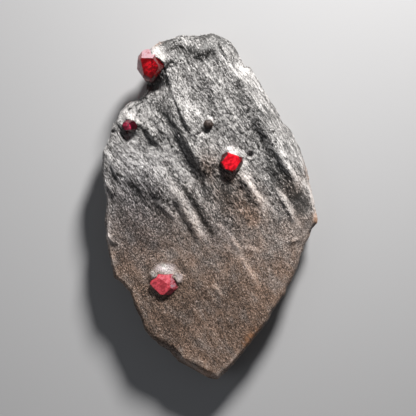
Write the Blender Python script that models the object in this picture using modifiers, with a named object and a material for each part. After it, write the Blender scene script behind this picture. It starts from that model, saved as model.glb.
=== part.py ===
"""Garnet in matrix: a slab of silvery graphite schist with garnets grown into its front face.

The slab lies on its back. Its front faces +Z, its blunt end +Y and its pointed end -Y, and the
origin is under the middle of its box, level with the flat of the back on which it rests.
Lengths here are in millimetres, and MM turns them into Blender's metres.
"""
import math

import bmesh
import bpy
import numpy as np
from mathutils import Matrix, Vector

MM = 0.001
OBJECT_NAME = "garnet_in_matrix"

# ---- the slab -------------------------------------------------------------------------------
WIDTH = 64.8
LENGTH = 104.4
FRONT_HEIGHT = 11.5             # the front over the middle of the slab, before its relief
CROWN_ACROSS = 0.0006           # how fast the front falls away from the middle, per mm squared
CROWN_ALONG = 0.0008
FLOW = math.radians(-57)        # the way the schist's grain runs, in plan
BACK_DEPTH = -0.5               # the back lies this low before the cleavage plane z = 0 trims it
VOXEL = 1.15                    # grain of the mesh that the relief is shaped on
FACET_SHARE = 0.31              # share of that mesh's triangles that the finished slab keeps
GAP = 0.3                       # clearance between a garnet and its socket

# The outline in plan, clockwise from the upper left.
OUTLINE = [
    (-16.8, 48.0), (-15.0, 49.5), (-12.0, 50.2), (-9.0, 51.5), (-3.0, 51.4), (0.3, 52.2),
    (3.6, 51.3), (6.3, 49.7), (9.0, 45.6), (10.6, 42.3), (12.3, 42.1), (15.0, 37.8),
    (18.3, 31.8), (21.0, 27.6), (22.2, 25.2), (24.9, 21.9), (27.0, 17.7), (28.5, 13.2),
    (30.0, 8.4), (30.4, 5.1), (31.5, 0.6), (32.3, -3.3), (32.2, -5.1), (30.9, -6.9),
    (29.1, -10.8), (27.3, -15.0), (26.1, -18.9), (24.6, -21.9), (22.5, -26.1), (20.1, -30.3),
    (18.3, -32.1), (17.3, -34.8), (14.3, -38.4), (11.1, -42.6), (8.1, -46.2), (5.4, -49.5),
    (2.4, -52.1), (-0.6, -51.5), (-4.8, -49.4), (-9.3, -47.0), (-12.0, -43.7), (-16.2, -40.7),
    (-19.5, -37.5), (-20.9, -33.3), (-23.3, -27.9), (-24.0, -25.5), (-27.0, -22.4),
    (-28.5, -21.3), (-29.9, -16.5), (-31.0, -10.5), (-31.5, -4.5), (-30.8, -0.6), (-31.7, 5.4),
    (-32.4, 9.9), (-32.1, 15.6), (-30.3, 20.1), (-29.4, 23.7), (-26.7, 28.4), (-24.0, 31.1),
    (-21.0, 32.3), (-19.2, 34.8), (-18.3, 39.0), (-18.4, 44.0), (-17.9, 47.2),
]

# A fold rises from its foot line and falls away slowly on the far side:
# points of the line, height, width of the rise, width of the fall.
FOLDS = {
    "main": ([(-19.2, 36.0), (-17.4, 32.1), (-15.0, 27.0), (-12.3, 22.5), (-9.8, 19.2), (-7.8, 15.6),
              (-6.2, 12.0), (-4.6, 8.0), (-2.4, 4.2), (1.2, -0.6)], 2.5, 3.4, 9.0),
    "main_low": ([(-8.8, 17.8), (-6.9, 13.2), (-5.4, 9.0), (-3.0, 4.8)], 0.9, 4.6, 6.0),
    "main_streak": ([(-12.6, 35.4), (-10.8, 30.6), (-8.9, 26.0), (-6.9, 21.6), (-5.1, 18.0)],
                    1.1, 1.2, 4.0),
    "upper_line": ([(-14.4, 42.0), (-13.2, 38.4), (-11.7, 33.6), (-9.9, 29.4)], 0.7, 0.9, 4.0),
    "beside_main": ([(-21.0, 30.4), (-17.6, 25.4), (-14.7, 20.4), (-11.4, 14.4)], 0.6, 1.2, 4.0),
    "shoulder": ([(-22.4, 24.9), (-20.4, 22.5), (-18.0, 19.4), (-15.6, 16.0)], 1.1, 1.5, 4.0),
    "left_face": ([(-33.0, 10.0), (-27.0, 6.0), (-22.0, 1.5), (-18.0, -3.0), (-15.0, -7.5)],
                  1.4, 7.5, 4.6),
    "lower": ([(-12.9, 12.3), (-10.2, 8.6), (-7.9, 5.0), (-6.0, 1.6), (-4.5, -1.7), (-2.7, -5.1),
               (-0.6, -8.6), (1.8, -12.0)], 0.9, 1.8, 6.0),
    "spur": ([(6.0, 12.6), (7.8, 8.4), (10.2, 4.2), (12.6, 0.9), (15.6, -2.1)], 0.6, 3.0, 6.0),
    "rim": ([(6.6, 35.4), (9.6, 30.0), (12.3, 25.2), (14.4, 20.4), (16.4, 16.2), (18.8, 12.0),
             (21.9, 8.1), (26.1, 4.2)], 1.4, 3.4, 7.0),
    "head": ([(-6.0, 41.4), (-1.2, 43.6), (4.2, 46.0)], 1.3, 3.2, 5.0),
    "head_edge": ([(0.6, 50.4), (2.4, 47.4), (4.0, 44.4), (5.4, 41.4)], 0.9, 1.2, 5.0),
    "brow": ([(-15.0, 45.0), (-11.4, 46.2), (-7.2, 47.4)], 0.8, 1.8, 3.0),
    "drape_left": ([(-3.4, 42.6), (-2.1, 37.8), (-0.9, 32.1), (0.9, 27.6)], 0.8, 2.2, 5.0),
    "drape_right": ([(4.8, 42.0), (6.9, 36.6), (8.4, 32.1), (9.9, 27.6)], 0.8, 2.4, 4.5),
}

# A ridge stands up on both sides of its line: points, height, half width.
RIDGES = {
    "crest": ([(-13.0, 8.0), (-10.4, 4.6), (-8.2, 0.3), (-6.0, -4.5), (-3.6, -9.2), (-0.6, -13.2)],
              1.1, 1.4),
    "spur_crest": ([(8.6, 13.5), (9.8, 8.7), (11.7, 4.8), (13.8, 1.5), (16.4, -1.2)], 0.8, 1.6),
    "right_line": ([(20.4, 4.8), (22.5, 1.8), (24.0, -2.7), (26.1, -6.0)], 0.6, 0.9),
    "far_line": ([(19.2, 20.1), (21.6, 13.8), (24.6, 9.0), (28.5, 6.3)], 0.7, 0.9),
    "outer_line": ([(21.9, 19.8), (24.9, 15.6), (27.3, 11.7), (29.4, 7.2)], 0.6, 0.8),
    "mid_line": ([(2.4, -5.1), (5.4, -8.1), (7.5, -11.4), (9.3, -15.3)], 0.3, 1.0),
    "low_line": ([(8.7, -13.8), (10.8, -17.7), (12.8, -21.3), (14.7, -24.6)], 0.35, 1.0),
    "cross_line": ([(4.2, -11.4), (8.1, -12.2), (12.0, -12.9), (16.2, -13.9)], 0.2, 0.8),
    "left_crease": ([(-15.9, 1.5), (-12.3, -1.8), (-9.0, -4.8)], 0.4, 0.7),
    "fleck": ([(0.9, -23.4), (2.7, -25.8), (3.9, -27.6)], 0.35, 0.6),
    "left_upper": ([(-30.6, 17.7), (-29.1, 13.8), (-27.9, 9.6), (-26.7, 5.4)], 0.6, 0.7),
    "left_middle": ([(-31.2, 8.1), (-29.7, 5.1), (-28.2, 1.8)], 0.6, 0.7),
    "left_lower": ([(-30.9, -7.5), (-29.1, -9.9), (-26.7, -11.7)], 0.8, 0.8),
    "notch_rim": ([(22.8, -11.1), (25.2, -10.2), (27.6, -9.6)], 0.4, 0.6),
}

# A collar of matrix laps up round the upper side of a garnet, on the left of its line:
# points, height, width of the inner rise, width of the outer fall.
COLLARS = {
    "top": ([(-19.2, 47.6), (-17.8, 45.6), (-16.4, 44.8), (-14.6, 43.9), (-13.2, 42.6), (-12.6, 41.0)],
            2.4, 0.5, 5.2),
    "small": ([(-25.4, 26.0), (-24.2, 26.4), (-22.8, 25.9), (-21.5, 25.0), (-20.6, 23.4)],
              0.7, 0.4, 2.4),
    "middle": ([(3.9, 15.6), (5.4, 16.0), (7.2, 15.6), (8.8, 14.7), (9.9, 13.2)], 1.2, 0.4, 2.8),
    "bottom": ([(-17.9, -22.6), (-16.6, -20.9), (-14.6, -20.2), (-12.3, -20.2), (-10.2, -20.9),
                (-8.9, -22.6), (-8.9, -24.6)], 0.8, 0.4, 3.2),
    "dark": ([(-1.9, 24.9), (-1.4, 26.0), (-0.4, 26.4), (0.7, 25.8), (1.1, 24.6), (0.8, 23.3)],
             0.7, 0.3, 1.4),
}

# A swell is a low hump, or a hollow where its height is negative:
# centre, radii, direction in degrees, height.
SWELLS = {
    "top_dent": ((-0.3, 47.0), (3.2, 2.4), 15, -0.9),
    "head_dent": ((-7.4, 46.4), (2.4, 2.0), 0, -0.6),
    "right_trough": ((15.0, 19.0), (3.5, 8.0), 25, -0.7),
    "basin": ((3.0, 6.0), (4.5, 7.0), 30, -1.1),
    "low_basin": ((-16.0, -13.0), (5.0, 3.0), 0, -0.7),
    "under_top": ((-17.7, 35.9), (2.8, 2.2), 0, -4.0),
    "under_small": ((-24.3, 21.3), (2.1, 1.5), -20, -1.8),
    "under_middle": ((5.9, 8.9), (3.0, 1.8), 10, -0.2),
    "under_bottom": ((-17.9, -24.6), (1.4, 2.0), 0, -0.7),
    "below_bottom": ((-14.0, -27.6), (3.0, 1.2), -20, -0.2),
    "under_dark": ((-1.6, 22.2), (1.2, 1.1), 0, -0.7),
    "right_hollow": ((27.6, 0.6), (2.4, 4.0), 10, -0.9),
    "right_notch": ((26.7, -12.0), (1.1, 1.8), 0, -0.7),
    "rim_swell": ((24.0, 14.0), (4.0, 7.0), 28, 0.6),
}

# Round each garnet the schist bulges: centre, radius, height.
MOUNDS = {
    "top": ((-15.6, 42.3), 8.0, 2.4),
    "small": ((-24.0, 23.4), 3.6, 0.7),
    "middle": ((6.3, 12.9), 5.0, 1.2),
    "bottom": ((-13.5, -23.4), 6.0, 0.6),
    "dark": ((-0.6, 24.6), 2.4, 0.5),
}

# Small pits where a grain has dropped out: centre, radius, depth.
PITS = {
    "by_top": ((-11.6, 42.9), 1.0, 1.2),
    "by_middle": ((12.1, 15.3), 1.4, 1.4),
    "left_notch": ((-28.8, 22.2), 0.9, 1.1),
    "by_spur": ((9.3, 5.2), 0.8, 0.9),
    "on_rim": ((18.9, 21.9), 0.8, 0.9),
    "by_dark": ((-3.0, 21.6), 0.7, 0.7),
}

# On the back a layer has split off beyond each line: two points of the line, with the missing
# layer on its left, the layer's thickness, and the width of the broken step.
BACK_STEPS = {
    "blunt_end": ((-24.0, 28.0), (14.0, 35.0), 1.3, 1.6),
    "blunt_corner": ((5.0, 52.0), (15.0, 25.0), 1.0, 2.0),
    "right_side": ((25.0, 12.0), (18.0, -38.0), 1.6, 1.4),
    "left_side": ((-24.5, -30.0), (-20.0, 10.0), 1.1, 1.8),
    "point": ((12.0, -38.0), (-16.0, -42.0), 1.4, 2.2),
}

# ---- the garnets ----------------------------------------------------------------------------
# Each crystal: middle, height of the front facet above the middle, lean of that facet (azimuth,
# angle), and its facets as azimuth, tilt from +Z, and reach: how far from the axis the facet
# meets the level of the front. The steep facets of a dodecahedron lie 60 and 90 degrees from the
# front one, and those of a trapezohedron between them.
GARNETS = {
    "garnet_top": {
        "middle": (-17.55, 41.7, 10.9), "front": 4.4, "lean": (250, 5),
        "facets": [(90, 56, 2.4), (195, 62, 2.57), (241, 50, 2.95), (5, 55, 2.15), (323, 68, 2.35),
                   (37, 54, 1.9), (142, 68, 3.7), (175, 90, 4.2), (140, 90, 5.0), (103, 90, 5.4),
                   (60, 90, 4.2), (215, 90, 3.95), (262, 90, 4.5), (323, 90, 3.1), (15, 90, 4.6)],
    },
    "garnet_small": {
        "middle": (-23.9, 23.9, 10.9), "front": 2.3, "lean": (0, 0),
        "facets": [(195, 34, 0.1), (18, 36, 0.1), (250, 60, 1.0), (305, 60, 1.2), (100, 58, 0.9),
                   (150, 58, 1.5), (172, 90, 2.3), (215, 90, 2.0), (260, 90, 1.9), (310, 90, 2.0),
                   (350, 90, 2.1), (25, 90, 1.95), (75, 90, 1.7), (125, 90, 2.1)],
    },
    "garnet_middle": {
        "middle": (6.45, 13.2, 10.1), "front": 3.2, "lean": (120, 6),
        "facets": [(90, 50, 2.1), (140, 54, 2.1), (30, 52, 2.5), (330, 60, 2.3), (205, 60, 2.6),
                   (255, 62, 2.6), (290, 58, 2.7), (165, 90, 3.3), (130, 90, 3.4), (205, 90, 3.1),
                   (250, 90, 2.8), (300, 90, 3.1), (335, 90, 3.25), (15, 90, 3.3), (70, 90, 2.3)],
    },
    "garnet_bottom": {
        "middle": (-13.5, -23.6, 8.9), "front": 3.6, "lean": (80, 6),
        "facets": [(222, 10, -1.0), (5, 30, 1.5), (300, 36, 1.6), (90, 54, 2.8), (146, 48, 2.8),
                   (165, 90, 4.4), (225, 90, 3.0), (268, 90, 3.0), (315, 90, 3.3), (0, 90, 4.1),
                   (38, 90, 3.9), (90, 90, 3.2), (130, 90, 3.7)],
    },
    "garnet_dark": {
        "middle": (-0.5, 24.45, 10.9), "front": 1.6, "lean": (0, 0),
        "facets": [(20, 38, 0.5), (92, 40, 0.45), (165, 38, 0.45), (235, 42, 0.5), (300, 38, 0.45),
                   (0, 68, 1.0), (60, 68, 1.05), (125, 68, 1.05), (195, 68, 1.0), (265, 68, 1.0),
                   (325, 68, 1.1), (30, 90, 1.4), (90, 90, 1.4), (150, 90, 1.4), (210, 90, 1.4),
                   (270, 90, 1.4), (330, 90, 1.4)],
    },
}

# name: base colour, roughness, metallic, transmission
FINISHES = {
    "graphite_schist": ((0.30, 0.28, 0.27, 1.0), 0.55, 0.15, 0.0),
    "garnet_red": ((0.45, 0.01, 0.02, 1.0), 0.06, 0.0, 0.85),
    "garnet_frosted": ((0.55, 0.06, 0.09, 1.0), 0.35, 0.0, 0.6),
    "garnet_coated": ((0.10, 0.07, 0.06, 1.0), 0.5, 0.0, 0.0),
}
GARNET_FINISH = {
    "garnet_top": "garnet_red", "garnet_small": "garnet_red", "garnet_middle": "garnet_red",
    "garnet_bottom": "garnet_frosted", "garnet_dark": "garnet_coated",
}


# ---- shapes in plan -------------------------------------------------------------------------
def smooth(t):
    """0 below 0, 1 above 1, and a smooth step between."""
    t = np.clip(t, 0.0, 1.0)
    return t * t * (3.0 - 2.0 * t)


def lattice_noise(x, y, cell, seed, stretch=1.0, angle=0.0):
    """Smooth seeded noise in -1..1, its grains stretched along an angle."""
    u = (x * math.cos(angle) + y * math.sin(angle)) / (cell * stretch)
    v = (y * math.cos(angle) - x * math.sin(angle)) / cell
    table = np.random.default_rng(seed).uniform(-1.0, 1.0, (256, 256))
    column, row = np.floor(u).astype(int), np.floor(v).astype(int)
    right, up = smooth(u - column), smooth(v - row)

    def corner(i, j):
        return table[(column + i) % 256, (row + j) % 256]

    low = corner(0, 0) * (1 - right) + corner(1, 0) * right
    high = corner(0, 1) * (1 - right) + corner(1, 1) * right
    return low * (1 - up) + high * up


def bent_line(x, y, points):
    """Distance to the left of a smoothly bent line, and share along it."""
    points = np.array(points, float)
    chord = points[-1] - points[0]
    length = math.hypot(*chord)
    along, across = chord / length, np.array((-chord[1], chord[0])) / length
    bend = np.polyfit((points - points[0]) @ along, (points - points[0]) @ across, 2)
    u = (x - points[0][0]) * along[0] + (y - points[0][1]) * along[1]
    v = (x - points[0][0]) * across[0] + (y - points[0][1]) * across[1]
    return v - np.polyval(bend, np.clip(u, 0.0, length)), u / length


def tapered(share, taper):
    """1 along a line's middle, falling to 0 at both its ends."""
    return smooth(np.minimum(share, 1.0 - share) / taper)


def fold(x, y, points, height, rise, fall):
    left, share = bent_line(x, y, points)
    profile = np.where(left < rise, smooth(left / rise), 1.0 - smooth((left - rise) / fall))
    return height * tapered(share, 0.45) * profile


def ridge(x, y, points, height, half_width):
    left, share = bent_line(x, y, points)
    return height * tapered(share, 0.35) * np.exp(-(left / half_width) ** 2)


def polyline(x, y, points):
    """Distance to the left of a line of straight runs, and share along it."""
    points = np.array(points, float)
    runs = np.diff(points, axis=0)
    lengths = np.hypot(*runs.T)
    starts = np.cumsum(lengths) - lengths
    nearest, side, along = np.full(x.shape, 1e9), np.ones(x.shape), np.zeros(x.shape)
    for point, run, length, start in zip(points, runs, lengths, starts):
        share = ((x - point[0]) * run[0] + (y - point[1]) * run[1]) / length ** 2
        share = np.clip(share, 0.0, 1.0)
        distance = np.hypot(x - point[0] - share * run[0], y - point[1] - share * run[1])
        left = run[0] * (y - point[1]) - run[1] * (x - point[0])
        closer = distance < nearest
        side = np.where(closer, np.sign(left), side)
        along = np.where(closer, (start + share * length) / lengths.sum(), along)
        nearest = np.where(closer, distance, nearest)
    return nearest * side, along


def collar(x, y, points, height, rise, fall):
    left, share = polyline(x, y, points)
    profile = np.where(left < rise, smooth(left / rise), 1.0 - smooth((left - rise) / fall))
    return height * tapered(share, 0.22) * profile


def swell(x, y, centre, radii, direction, height):
    turn = math.radians(direction)
    u = (x - centre[0]) * math.cos(turn) + (y - centre[1]) * math.sin(turn)
    v = (y - centre[1]) * math.cos(turn) - (x - centre[0]) * math.sin(turn)
    return height * np.exp(-(u / radii[0]) ** 2 - (v / radii[1]) ** 2)


def mound(x, y, centre, radius, height):
    return height * (1.0 - smooth(np.hypot(x - centre[0], y - centre[1]) / radius))


def inside_distance(x, y):
    """Distance in from the outline, negative outside it."""
    left, _ = polyline(x, y, OUTLINE + OUTLINE[:1])
    return -left


def front_height(x, y, inside):
    """Height of the slab's front: its crown, the relief on it, and its rounded rim."""
    z = FRONT_HEIGHT - CROWN_ACROSS * x ** 2 - CROWN_ALONG * y ** 2
    for shape, features in ((fold, FOLDS), (ridge, RIDGES), (collar, COLLARS), (swell, SWELLS),
                            (mound, MOUNDS)):
        for feature in features.values():
            z = z + shape(x, y, *feature)
    streaky = 0.35 + 0.65 * smooth((y + 14.0) / 22.0)
    z = z + 0.40 * streaky * lattice_noise(x, y, 7.0, 1, 2.0, FLOW)
    z = z + 0.22 * streaky * lattice_noise(x, y, 3.0, 2, 2.0, FLOW)
    worn_side = smooth((0.85 * x + 0.5 * y - 14.0) / 8.0)
    bevelled_corner = swell(x, y, (-9.0, -47.0), (10.0, 6.0), 0, 1.0)
    z = z - 2.4 * worn_side * (1.0 - smooth(inside / 6.0))
    z = z - 3.4 * bevelled_corner * (1.0 - smooth(inside / 2.6))
    return z - 0.8 * (1.0 - smooth(inside / 1.1))


def back_height(x, y):
    """Height of the slab's back, where some layers have split off towards the rim."""
    z = BACK_DEPTH + 0.25 * lattice_noise(x, y, 9.0, 21, 2.0, FLOW)
    for start, end, thickness, width in BACK_STEPS.values():
        run = np.array(end) - np.array(start)
        left = (run[0] * (y - start[1]) - run[1] * (x - start[0])) / math.hypot(*run)
        left = left + 1.5 * lattice_noise(x, y, 5.0, 22)
        z = z + thickness * smooth(left / width)
    return z


def side_inset(x, y, share):
    """How far the broken side lies inside the outline, by share of the slab's height."""
    around = np.arctan2(y, x) * 42.0
    layers = 0.5 + 0.5 * lattice_noise(around, share * 12.0, 3.0, 31, 3.0)
    chips = 0.5 + 0.5 * lattice_noise(around, share * 12.0, 9.0, 32)
    undercut = 1.0 - smooth(share / 0.5)
    return 0.9 * layers * (1.0 - smooth((share - 0.75) / 0.2)) + undercut * (0.6 + 2.4 * chips)


# ---- building -------------------------------------------------------------------------------
def collection(name):
    group = bpy.data.collections.new(name)
    bpy.context.scene.collection.children.link(group)
    return group


def material(name):
    base_color, roughness, metallic, transmission = FINISHES[name]
    finish = bpy.data.materials.new(name)
    finish.use_nodes = True
    shader = finish.node_tree.nodes["Principled BSDF"]
    shader.inputs["Base Color"].default_value = base_color
    shader.inputs["Roughness"].default_value = roughness
    shader.inputs["Metallic"].default_value = metallic
    shader.inputs["Transmission Weight"].default_value = transmission
    finish.diffuse_color = base_color
    return finish


def add_object(name, mesh, group, finish=None):
    obj = bpy.data.objects.new(name, mesh)
    if finish:
        mesh.materials.append(finish)
    group.objects.link(obj)
    return obj


def evaluated_mesh(obj):
    """The object's mesh with its modifiers applied, as a mesh of its own."""
    graph = bpy.context.evaluated_depsgraph_get()
    return bpy.data.meshes.new_from_object(obj.evaluated_get(graph), depsgraph=graph)


def apply_modifiers(obj):
    mesh = evaluated_mesh(obj)
    obj.modifiers.clear()
    obj.data = mesh


def outline_plate(group, thickness):
    """A flat plate with the slab's outline, its lower face at z = 0."""
    curve = bpy.data.curves.new("slab_outline", "CURVE")
    curve.dimensions = "2D"
    curve.fill_mode = "BOTH"
    curve.extrude = thickness * MM / 2
    spline = curve.splines.new("POLY")
    spline.points.add(len(OUTLINE) - 1)
    for point, (x, y) in zip(spline.points, OUTLINE):
        point.co = (x * MM, y * MM, 0.0, 1.0)
    spline.use_cyclic_u = True
    outline = add_object("slab_outline", curve, group)
    mesh = evaluated_mesh(outline)
    bpy.data.objects.remove(outline)
    edit = bmesh.new()
    edit.from_mesh(mesh)
    bmesh.ops.remove_doubles(edit, verts=edit.verts, dist=0.00001)
    bmesh.ops.translate(edit, verts=edit.verts, vec=(0.0, 0.0, thickness * MM / 2))
    edit.to_mesh(mesh)
    edit.free()
    return mesh


def positions(mesh):
    flat = np.empty(len(mesh.vertices) * 3)
    mesh.vertices.foreach_get("co", flat)
    return flat.reshape(-1, 3) / MM


def set_positions(mesh, points):
    mesh.vertices.foreach_set("co", (points * MM).ravel())
    mesh.update()


def shape_slab(mesh, thickness):
    """Turn the flat plate into the slab: broken sides, relief in front, steps behind."""
    points = positions(mesh)
    x, y, share = points[:, 0], points[:, 1], np.clip(points[:, 2] / thickness, 0.0, 1.0)
    inside = np.maximum(inside_distance(x, y), 0.0)
    outward = np.stack((x / WIDTH ** 2, y / LENGTH ** 2))
    outward = outward / np.maximum(np.hypot(*outward), 1e-9)
    inset = side_inset(x, y, share) * (1.0 - smooth(inside / 5.0))
    top, bottom = front_height(x, y, inside), back_height(x, y)
    points[:, 0] = x - outward[0] * inset
    points[:, 1] = y - outward[1] * inset
    points[:, 2] = bottom + share * (top - bottom)
    set_positions(mesh, points)


def fit_plan(mesh):
    """Scale the slab in plan to its stated width and length, centred on the origin."""
    points = positions(mesh)
    for axis, size in ((0, WIDTH), (1, LENGTH)):
        low, high = points[:, axis].min(), points[:, axis].max()
        points[:, axis] = (points[:, axis] - (low + high) / 2) * size / (high - low)
    set_positions(mesh, points)


def cut(obj, cutter):
    """Take the cutter's shape out of the object."""
    step = obj.modifiers.new("cut_" + cutter.name, "BOOLEAN")
    step.operation = "DIFFERENCE"
    step.solver = "EXACT"
    step.object = cutter


def as_cutter(obj):
    obj.hide_render = True
    obj.display_type = "WIRE"
    return obj


def below_cleavage(group):
    """A block under z = 0 that trims the back to its flat cleavage plane."""
    bpy.ops.mesh.primitive_cube_add(size=1.0)
    block = bpy.context.object
    block.name = "below_cleavage"
    block.scale = (1.5 * WIDTH * MM, 1.5 * LENGTH * MM, 10.0 * MM)
    block.location = (0.0, 0.0, -5.0 * MM)
    for owner in block.users_collection:
        owner.objects.unlink(block)
    group.objects.link(block)
    return as_cutter(block)


def crystal_mesh(name, garnet, grow=0.0):
    """A garnet cut facet by facet out of a cube, each facet moved out by grow."""
    middle, front = Vector(garnet["middle"]), garnet["front"]
    lean = Matrix.Rotation(math.radians(garnet["lean"][0]), 3, "Z")
    lean = lean @ Matrix.Rotation(math.radians(garnet["lean"][1]), 3, "Y")
    planes = [(lean @ Vector((0.0, 0.0, 1.0)), front), (Vector((0.0, 0.0, -1.0)), front)]
    for azimuth, tilt, reach in garnet["facets"]:
        turn, slope = math.radians(azimuth), math.radians(tilt)
        flat = Vector((math.cos(turn), math.sin(turn), 0.0)) * math.sin(slope)
        rise = Vector((0.0, 0.0, math.cos(slope)))
        distance = reach * math.sin(slope) + front * math.cos(slope)
        planes.append((flat + rise, distance))
        if tilt < 80:
            planes.append((flat - rise, distance))
    edit = bmesh.new()
    bmesh.ops.create_cube(edit, size=8.0 * front * MM)
    for normal, distance in planes:
        everything = edit.verts[:] + edit.edges[:] + edit.faces[:]
        point = normal * (distance + grow) * MM
        sliced = bmesh.ops.bisect_plane(edit, geom=everything, plane_co=point, plane_no=normal,
                                        dist=0.00001 * MM, clear_outer=True)
        rim = [part for part in sliced["geom_cut"] if isinstance(part, bmesh.types.BMEdge)]
        if rim:
            bmesh.ops.contextual_create(edit, geom=rim)
    bmesh.ops.remove_doubles(edit, verts=edit.verts, dist=0.02 * MM)
    bmesh.ops.translate(edit, verts=edit.verts, vec=middle * MM)
    bmesh.ops.recalc_face_normals(edit, faces=edit.faces)
    mesh = bpy.data.meshes.new(name)
    edit.to_mesh(mesh)
    edit.free()
    return mesh


def pit_cutter(name, group, centre, radius, depth):
    """A ball that dips the given depth into the front."""
    x, y = np.array([centre[0]]), np.array([centre[1]])
    surface = front_height(x, y, inside_distance(x, y))[0]
    edit = bmesh.new()
    bmesh.ops.create_icosphere(edit, subdivisions=2, radius=radius * MM)
    raised = Vector((centre[0], centre[1], surface - depth + radius)) * MM
    bmesh.ops.translate(edit, verts=edit.verts, vec=raised)
    mesh = bpy.data.meshes.new(name)
    edit.to_mesh(mesh)
    edit.free()
    return as_cutter(add_object(name, mesh, group))


def keep_largest_piece(mesh):
    """Drop any crumb of matrix that a socket has cut off the slab."""
    edit = bmesh.new()
    edit.from_mesh(mesh)
    unseen, pieces = set(edit.verts), []
    while unseen:
        stack, piece = [unseen.pop()], []
        while stack:
            vertex = stack.pop()
            piece.append(vertex)
            for edge in vertex.link_edges:
                other = edge.other_vert(vertex)
                if other in unseen:
                    unseen.remove(other)
                    stack.append(other)
        pieces.append(piece)
    pieces.sort(key=len)
    for crumb in pieces[:-1]:
        bmesh.ops.delete(edit, geom=crumb, context="VERTS")
    edit.to_mesh(mesh)
    edit.free()


def build_matrix(parts, cutters):
    """The schist slab, cut by the cleavage plane and by the garnets' sockets."""
    slab = add_object("graphite_matrix", outline_plate(cutters, FRONT_HEIGHT), parts,
                      material("graphite_schist"))
    remesh = slab.modifiers.new("grain", "REMESH")
    remesh.mode = "VOXEL"
    remesh.voxel_size = VOXEL * MM
    apply_modifiers(slab)
    shape_slab(slab.data, FRONT_HEIGHT)
    facets = slab.modifiers.new("facets", "DECIMATE")
    facets.ratio = FACET_SHARE
    apply_modifiers(slab)
    fit_plan(slab.data)
    cut(slab, below_cleavage(cutters))
    for name, pit in PITS.items():
        cut(slab, pit_cutter("pit_" + name, cutters, *pit))
    for name, garnet in GARNETS.items():
        socket = add_object(name + "_socket", crystal_mesh(name + "_socket", garnet, GAP), cutters)
        cut(slab, as_cutter(socket))
    apply_modifiers(slab)
    keep_largest_piece(slab.data)
    slab.data.materials.clear()
    slab.data.materials.append(bpy.data.materials["graphite_schist"])
    return slab


def build_garnets(parts):
    finishes = {name: material(name) for name in sorted(set(GARNET_FINISH.values()))}
    for name, garnet in GARNETS.items():
        add_object(name, crystal_mesh(name, garnet), parts, finishes[GARNET_FINISH[name]])


def main():
    for obj in list(bpy.data.objects):
        bpy.data.objects.remove(obj)
    parts, cutters = collection(OBJECT_NAME), collection("cutters")
    build_matrix(parts, cutters)
    build_garnets(parts)


main()
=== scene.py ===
"""The looks of the garnet in matrix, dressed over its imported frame.

The fine slab repeats the CAD slab's outline and relief and adds what is too small for it: scales,
ledges, chips and loose flakes of graphite. The garnets repeat their CAD facets and are cut closer.
Lengths are in millimetres unless a name says otherwise, and MM turns them into metres.
"""
import math
from contextlib import contextmanager

import bmesh
import bpy
import numpy as np
from mathutils import Matrix, Vector


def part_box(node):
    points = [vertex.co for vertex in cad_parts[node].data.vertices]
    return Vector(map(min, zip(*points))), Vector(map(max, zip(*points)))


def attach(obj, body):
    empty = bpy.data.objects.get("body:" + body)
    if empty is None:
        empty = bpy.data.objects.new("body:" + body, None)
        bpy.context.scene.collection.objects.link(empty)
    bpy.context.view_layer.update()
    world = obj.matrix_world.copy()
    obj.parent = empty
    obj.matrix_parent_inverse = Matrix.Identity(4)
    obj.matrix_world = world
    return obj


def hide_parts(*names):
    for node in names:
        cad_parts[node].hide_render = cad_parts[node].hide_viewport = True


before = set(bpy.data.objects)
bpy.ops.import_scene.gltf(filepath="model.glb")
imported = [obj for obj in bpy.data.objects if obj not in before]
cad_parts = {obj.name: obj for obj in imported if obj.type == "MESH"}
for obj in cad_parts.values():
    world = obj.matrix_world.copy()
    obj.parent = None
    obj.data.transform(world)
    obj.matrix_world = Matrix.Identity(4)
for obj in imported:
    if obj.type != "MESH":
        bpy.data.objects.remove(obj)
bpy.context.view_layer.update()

MM = 0.001

# ---- the slab, as in the CAD ----
WIDTH = 64.8
LENGTH = 104.4
FRONT_HEIGHT = 11.5             # the front over the middle of the slab, before its relief
CROWN_ACROSS = 0.0006           # how fast the front falls away from the middle, per mm squared
CROWN_ALONG = 0.0008
FLOW = math.radians(-57)        # the way the schist's grain runs, in plan
BACK_DEPTH = -0.5               # the back's level before the cleavage plane z = 0 trims it

# ---- the fine mesh ----
VOXEL = 0.285                   # grain of the mesh that the relief is shaped on
TRIANGLES = 192000              # what the slab keeps of it
FLAKES = 5000
FIBRES = 24000                  # in each of the three layers of them
POCKET_GAP = 0.03               # clearance between a garnet and the matrix round it
COLLAR_LAP = 0.9                # how far the collars lap in over the garnets
CRYSTAL_EDGE = 0.05             # how far the garnets' edges are rounded
CRYSTAL_CREASE = math.radians(14)       # above which an edge between two faces looks sharp
SLAB_CREASE = math.radians(38)
MEAN_RADIUS = 42.0              # turns an angle round the slab into a distance along its rim
LAYER = 0.8                     # thickness of the sheets that the sides break into
CELLS = 256                     # after which a noise lattice repeats
SLOPE_STEP = 0.35               # how far to each side the front is felt for its slope
FLOW_STEP = 0.2                 # and its grain for the way it runs

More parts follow.
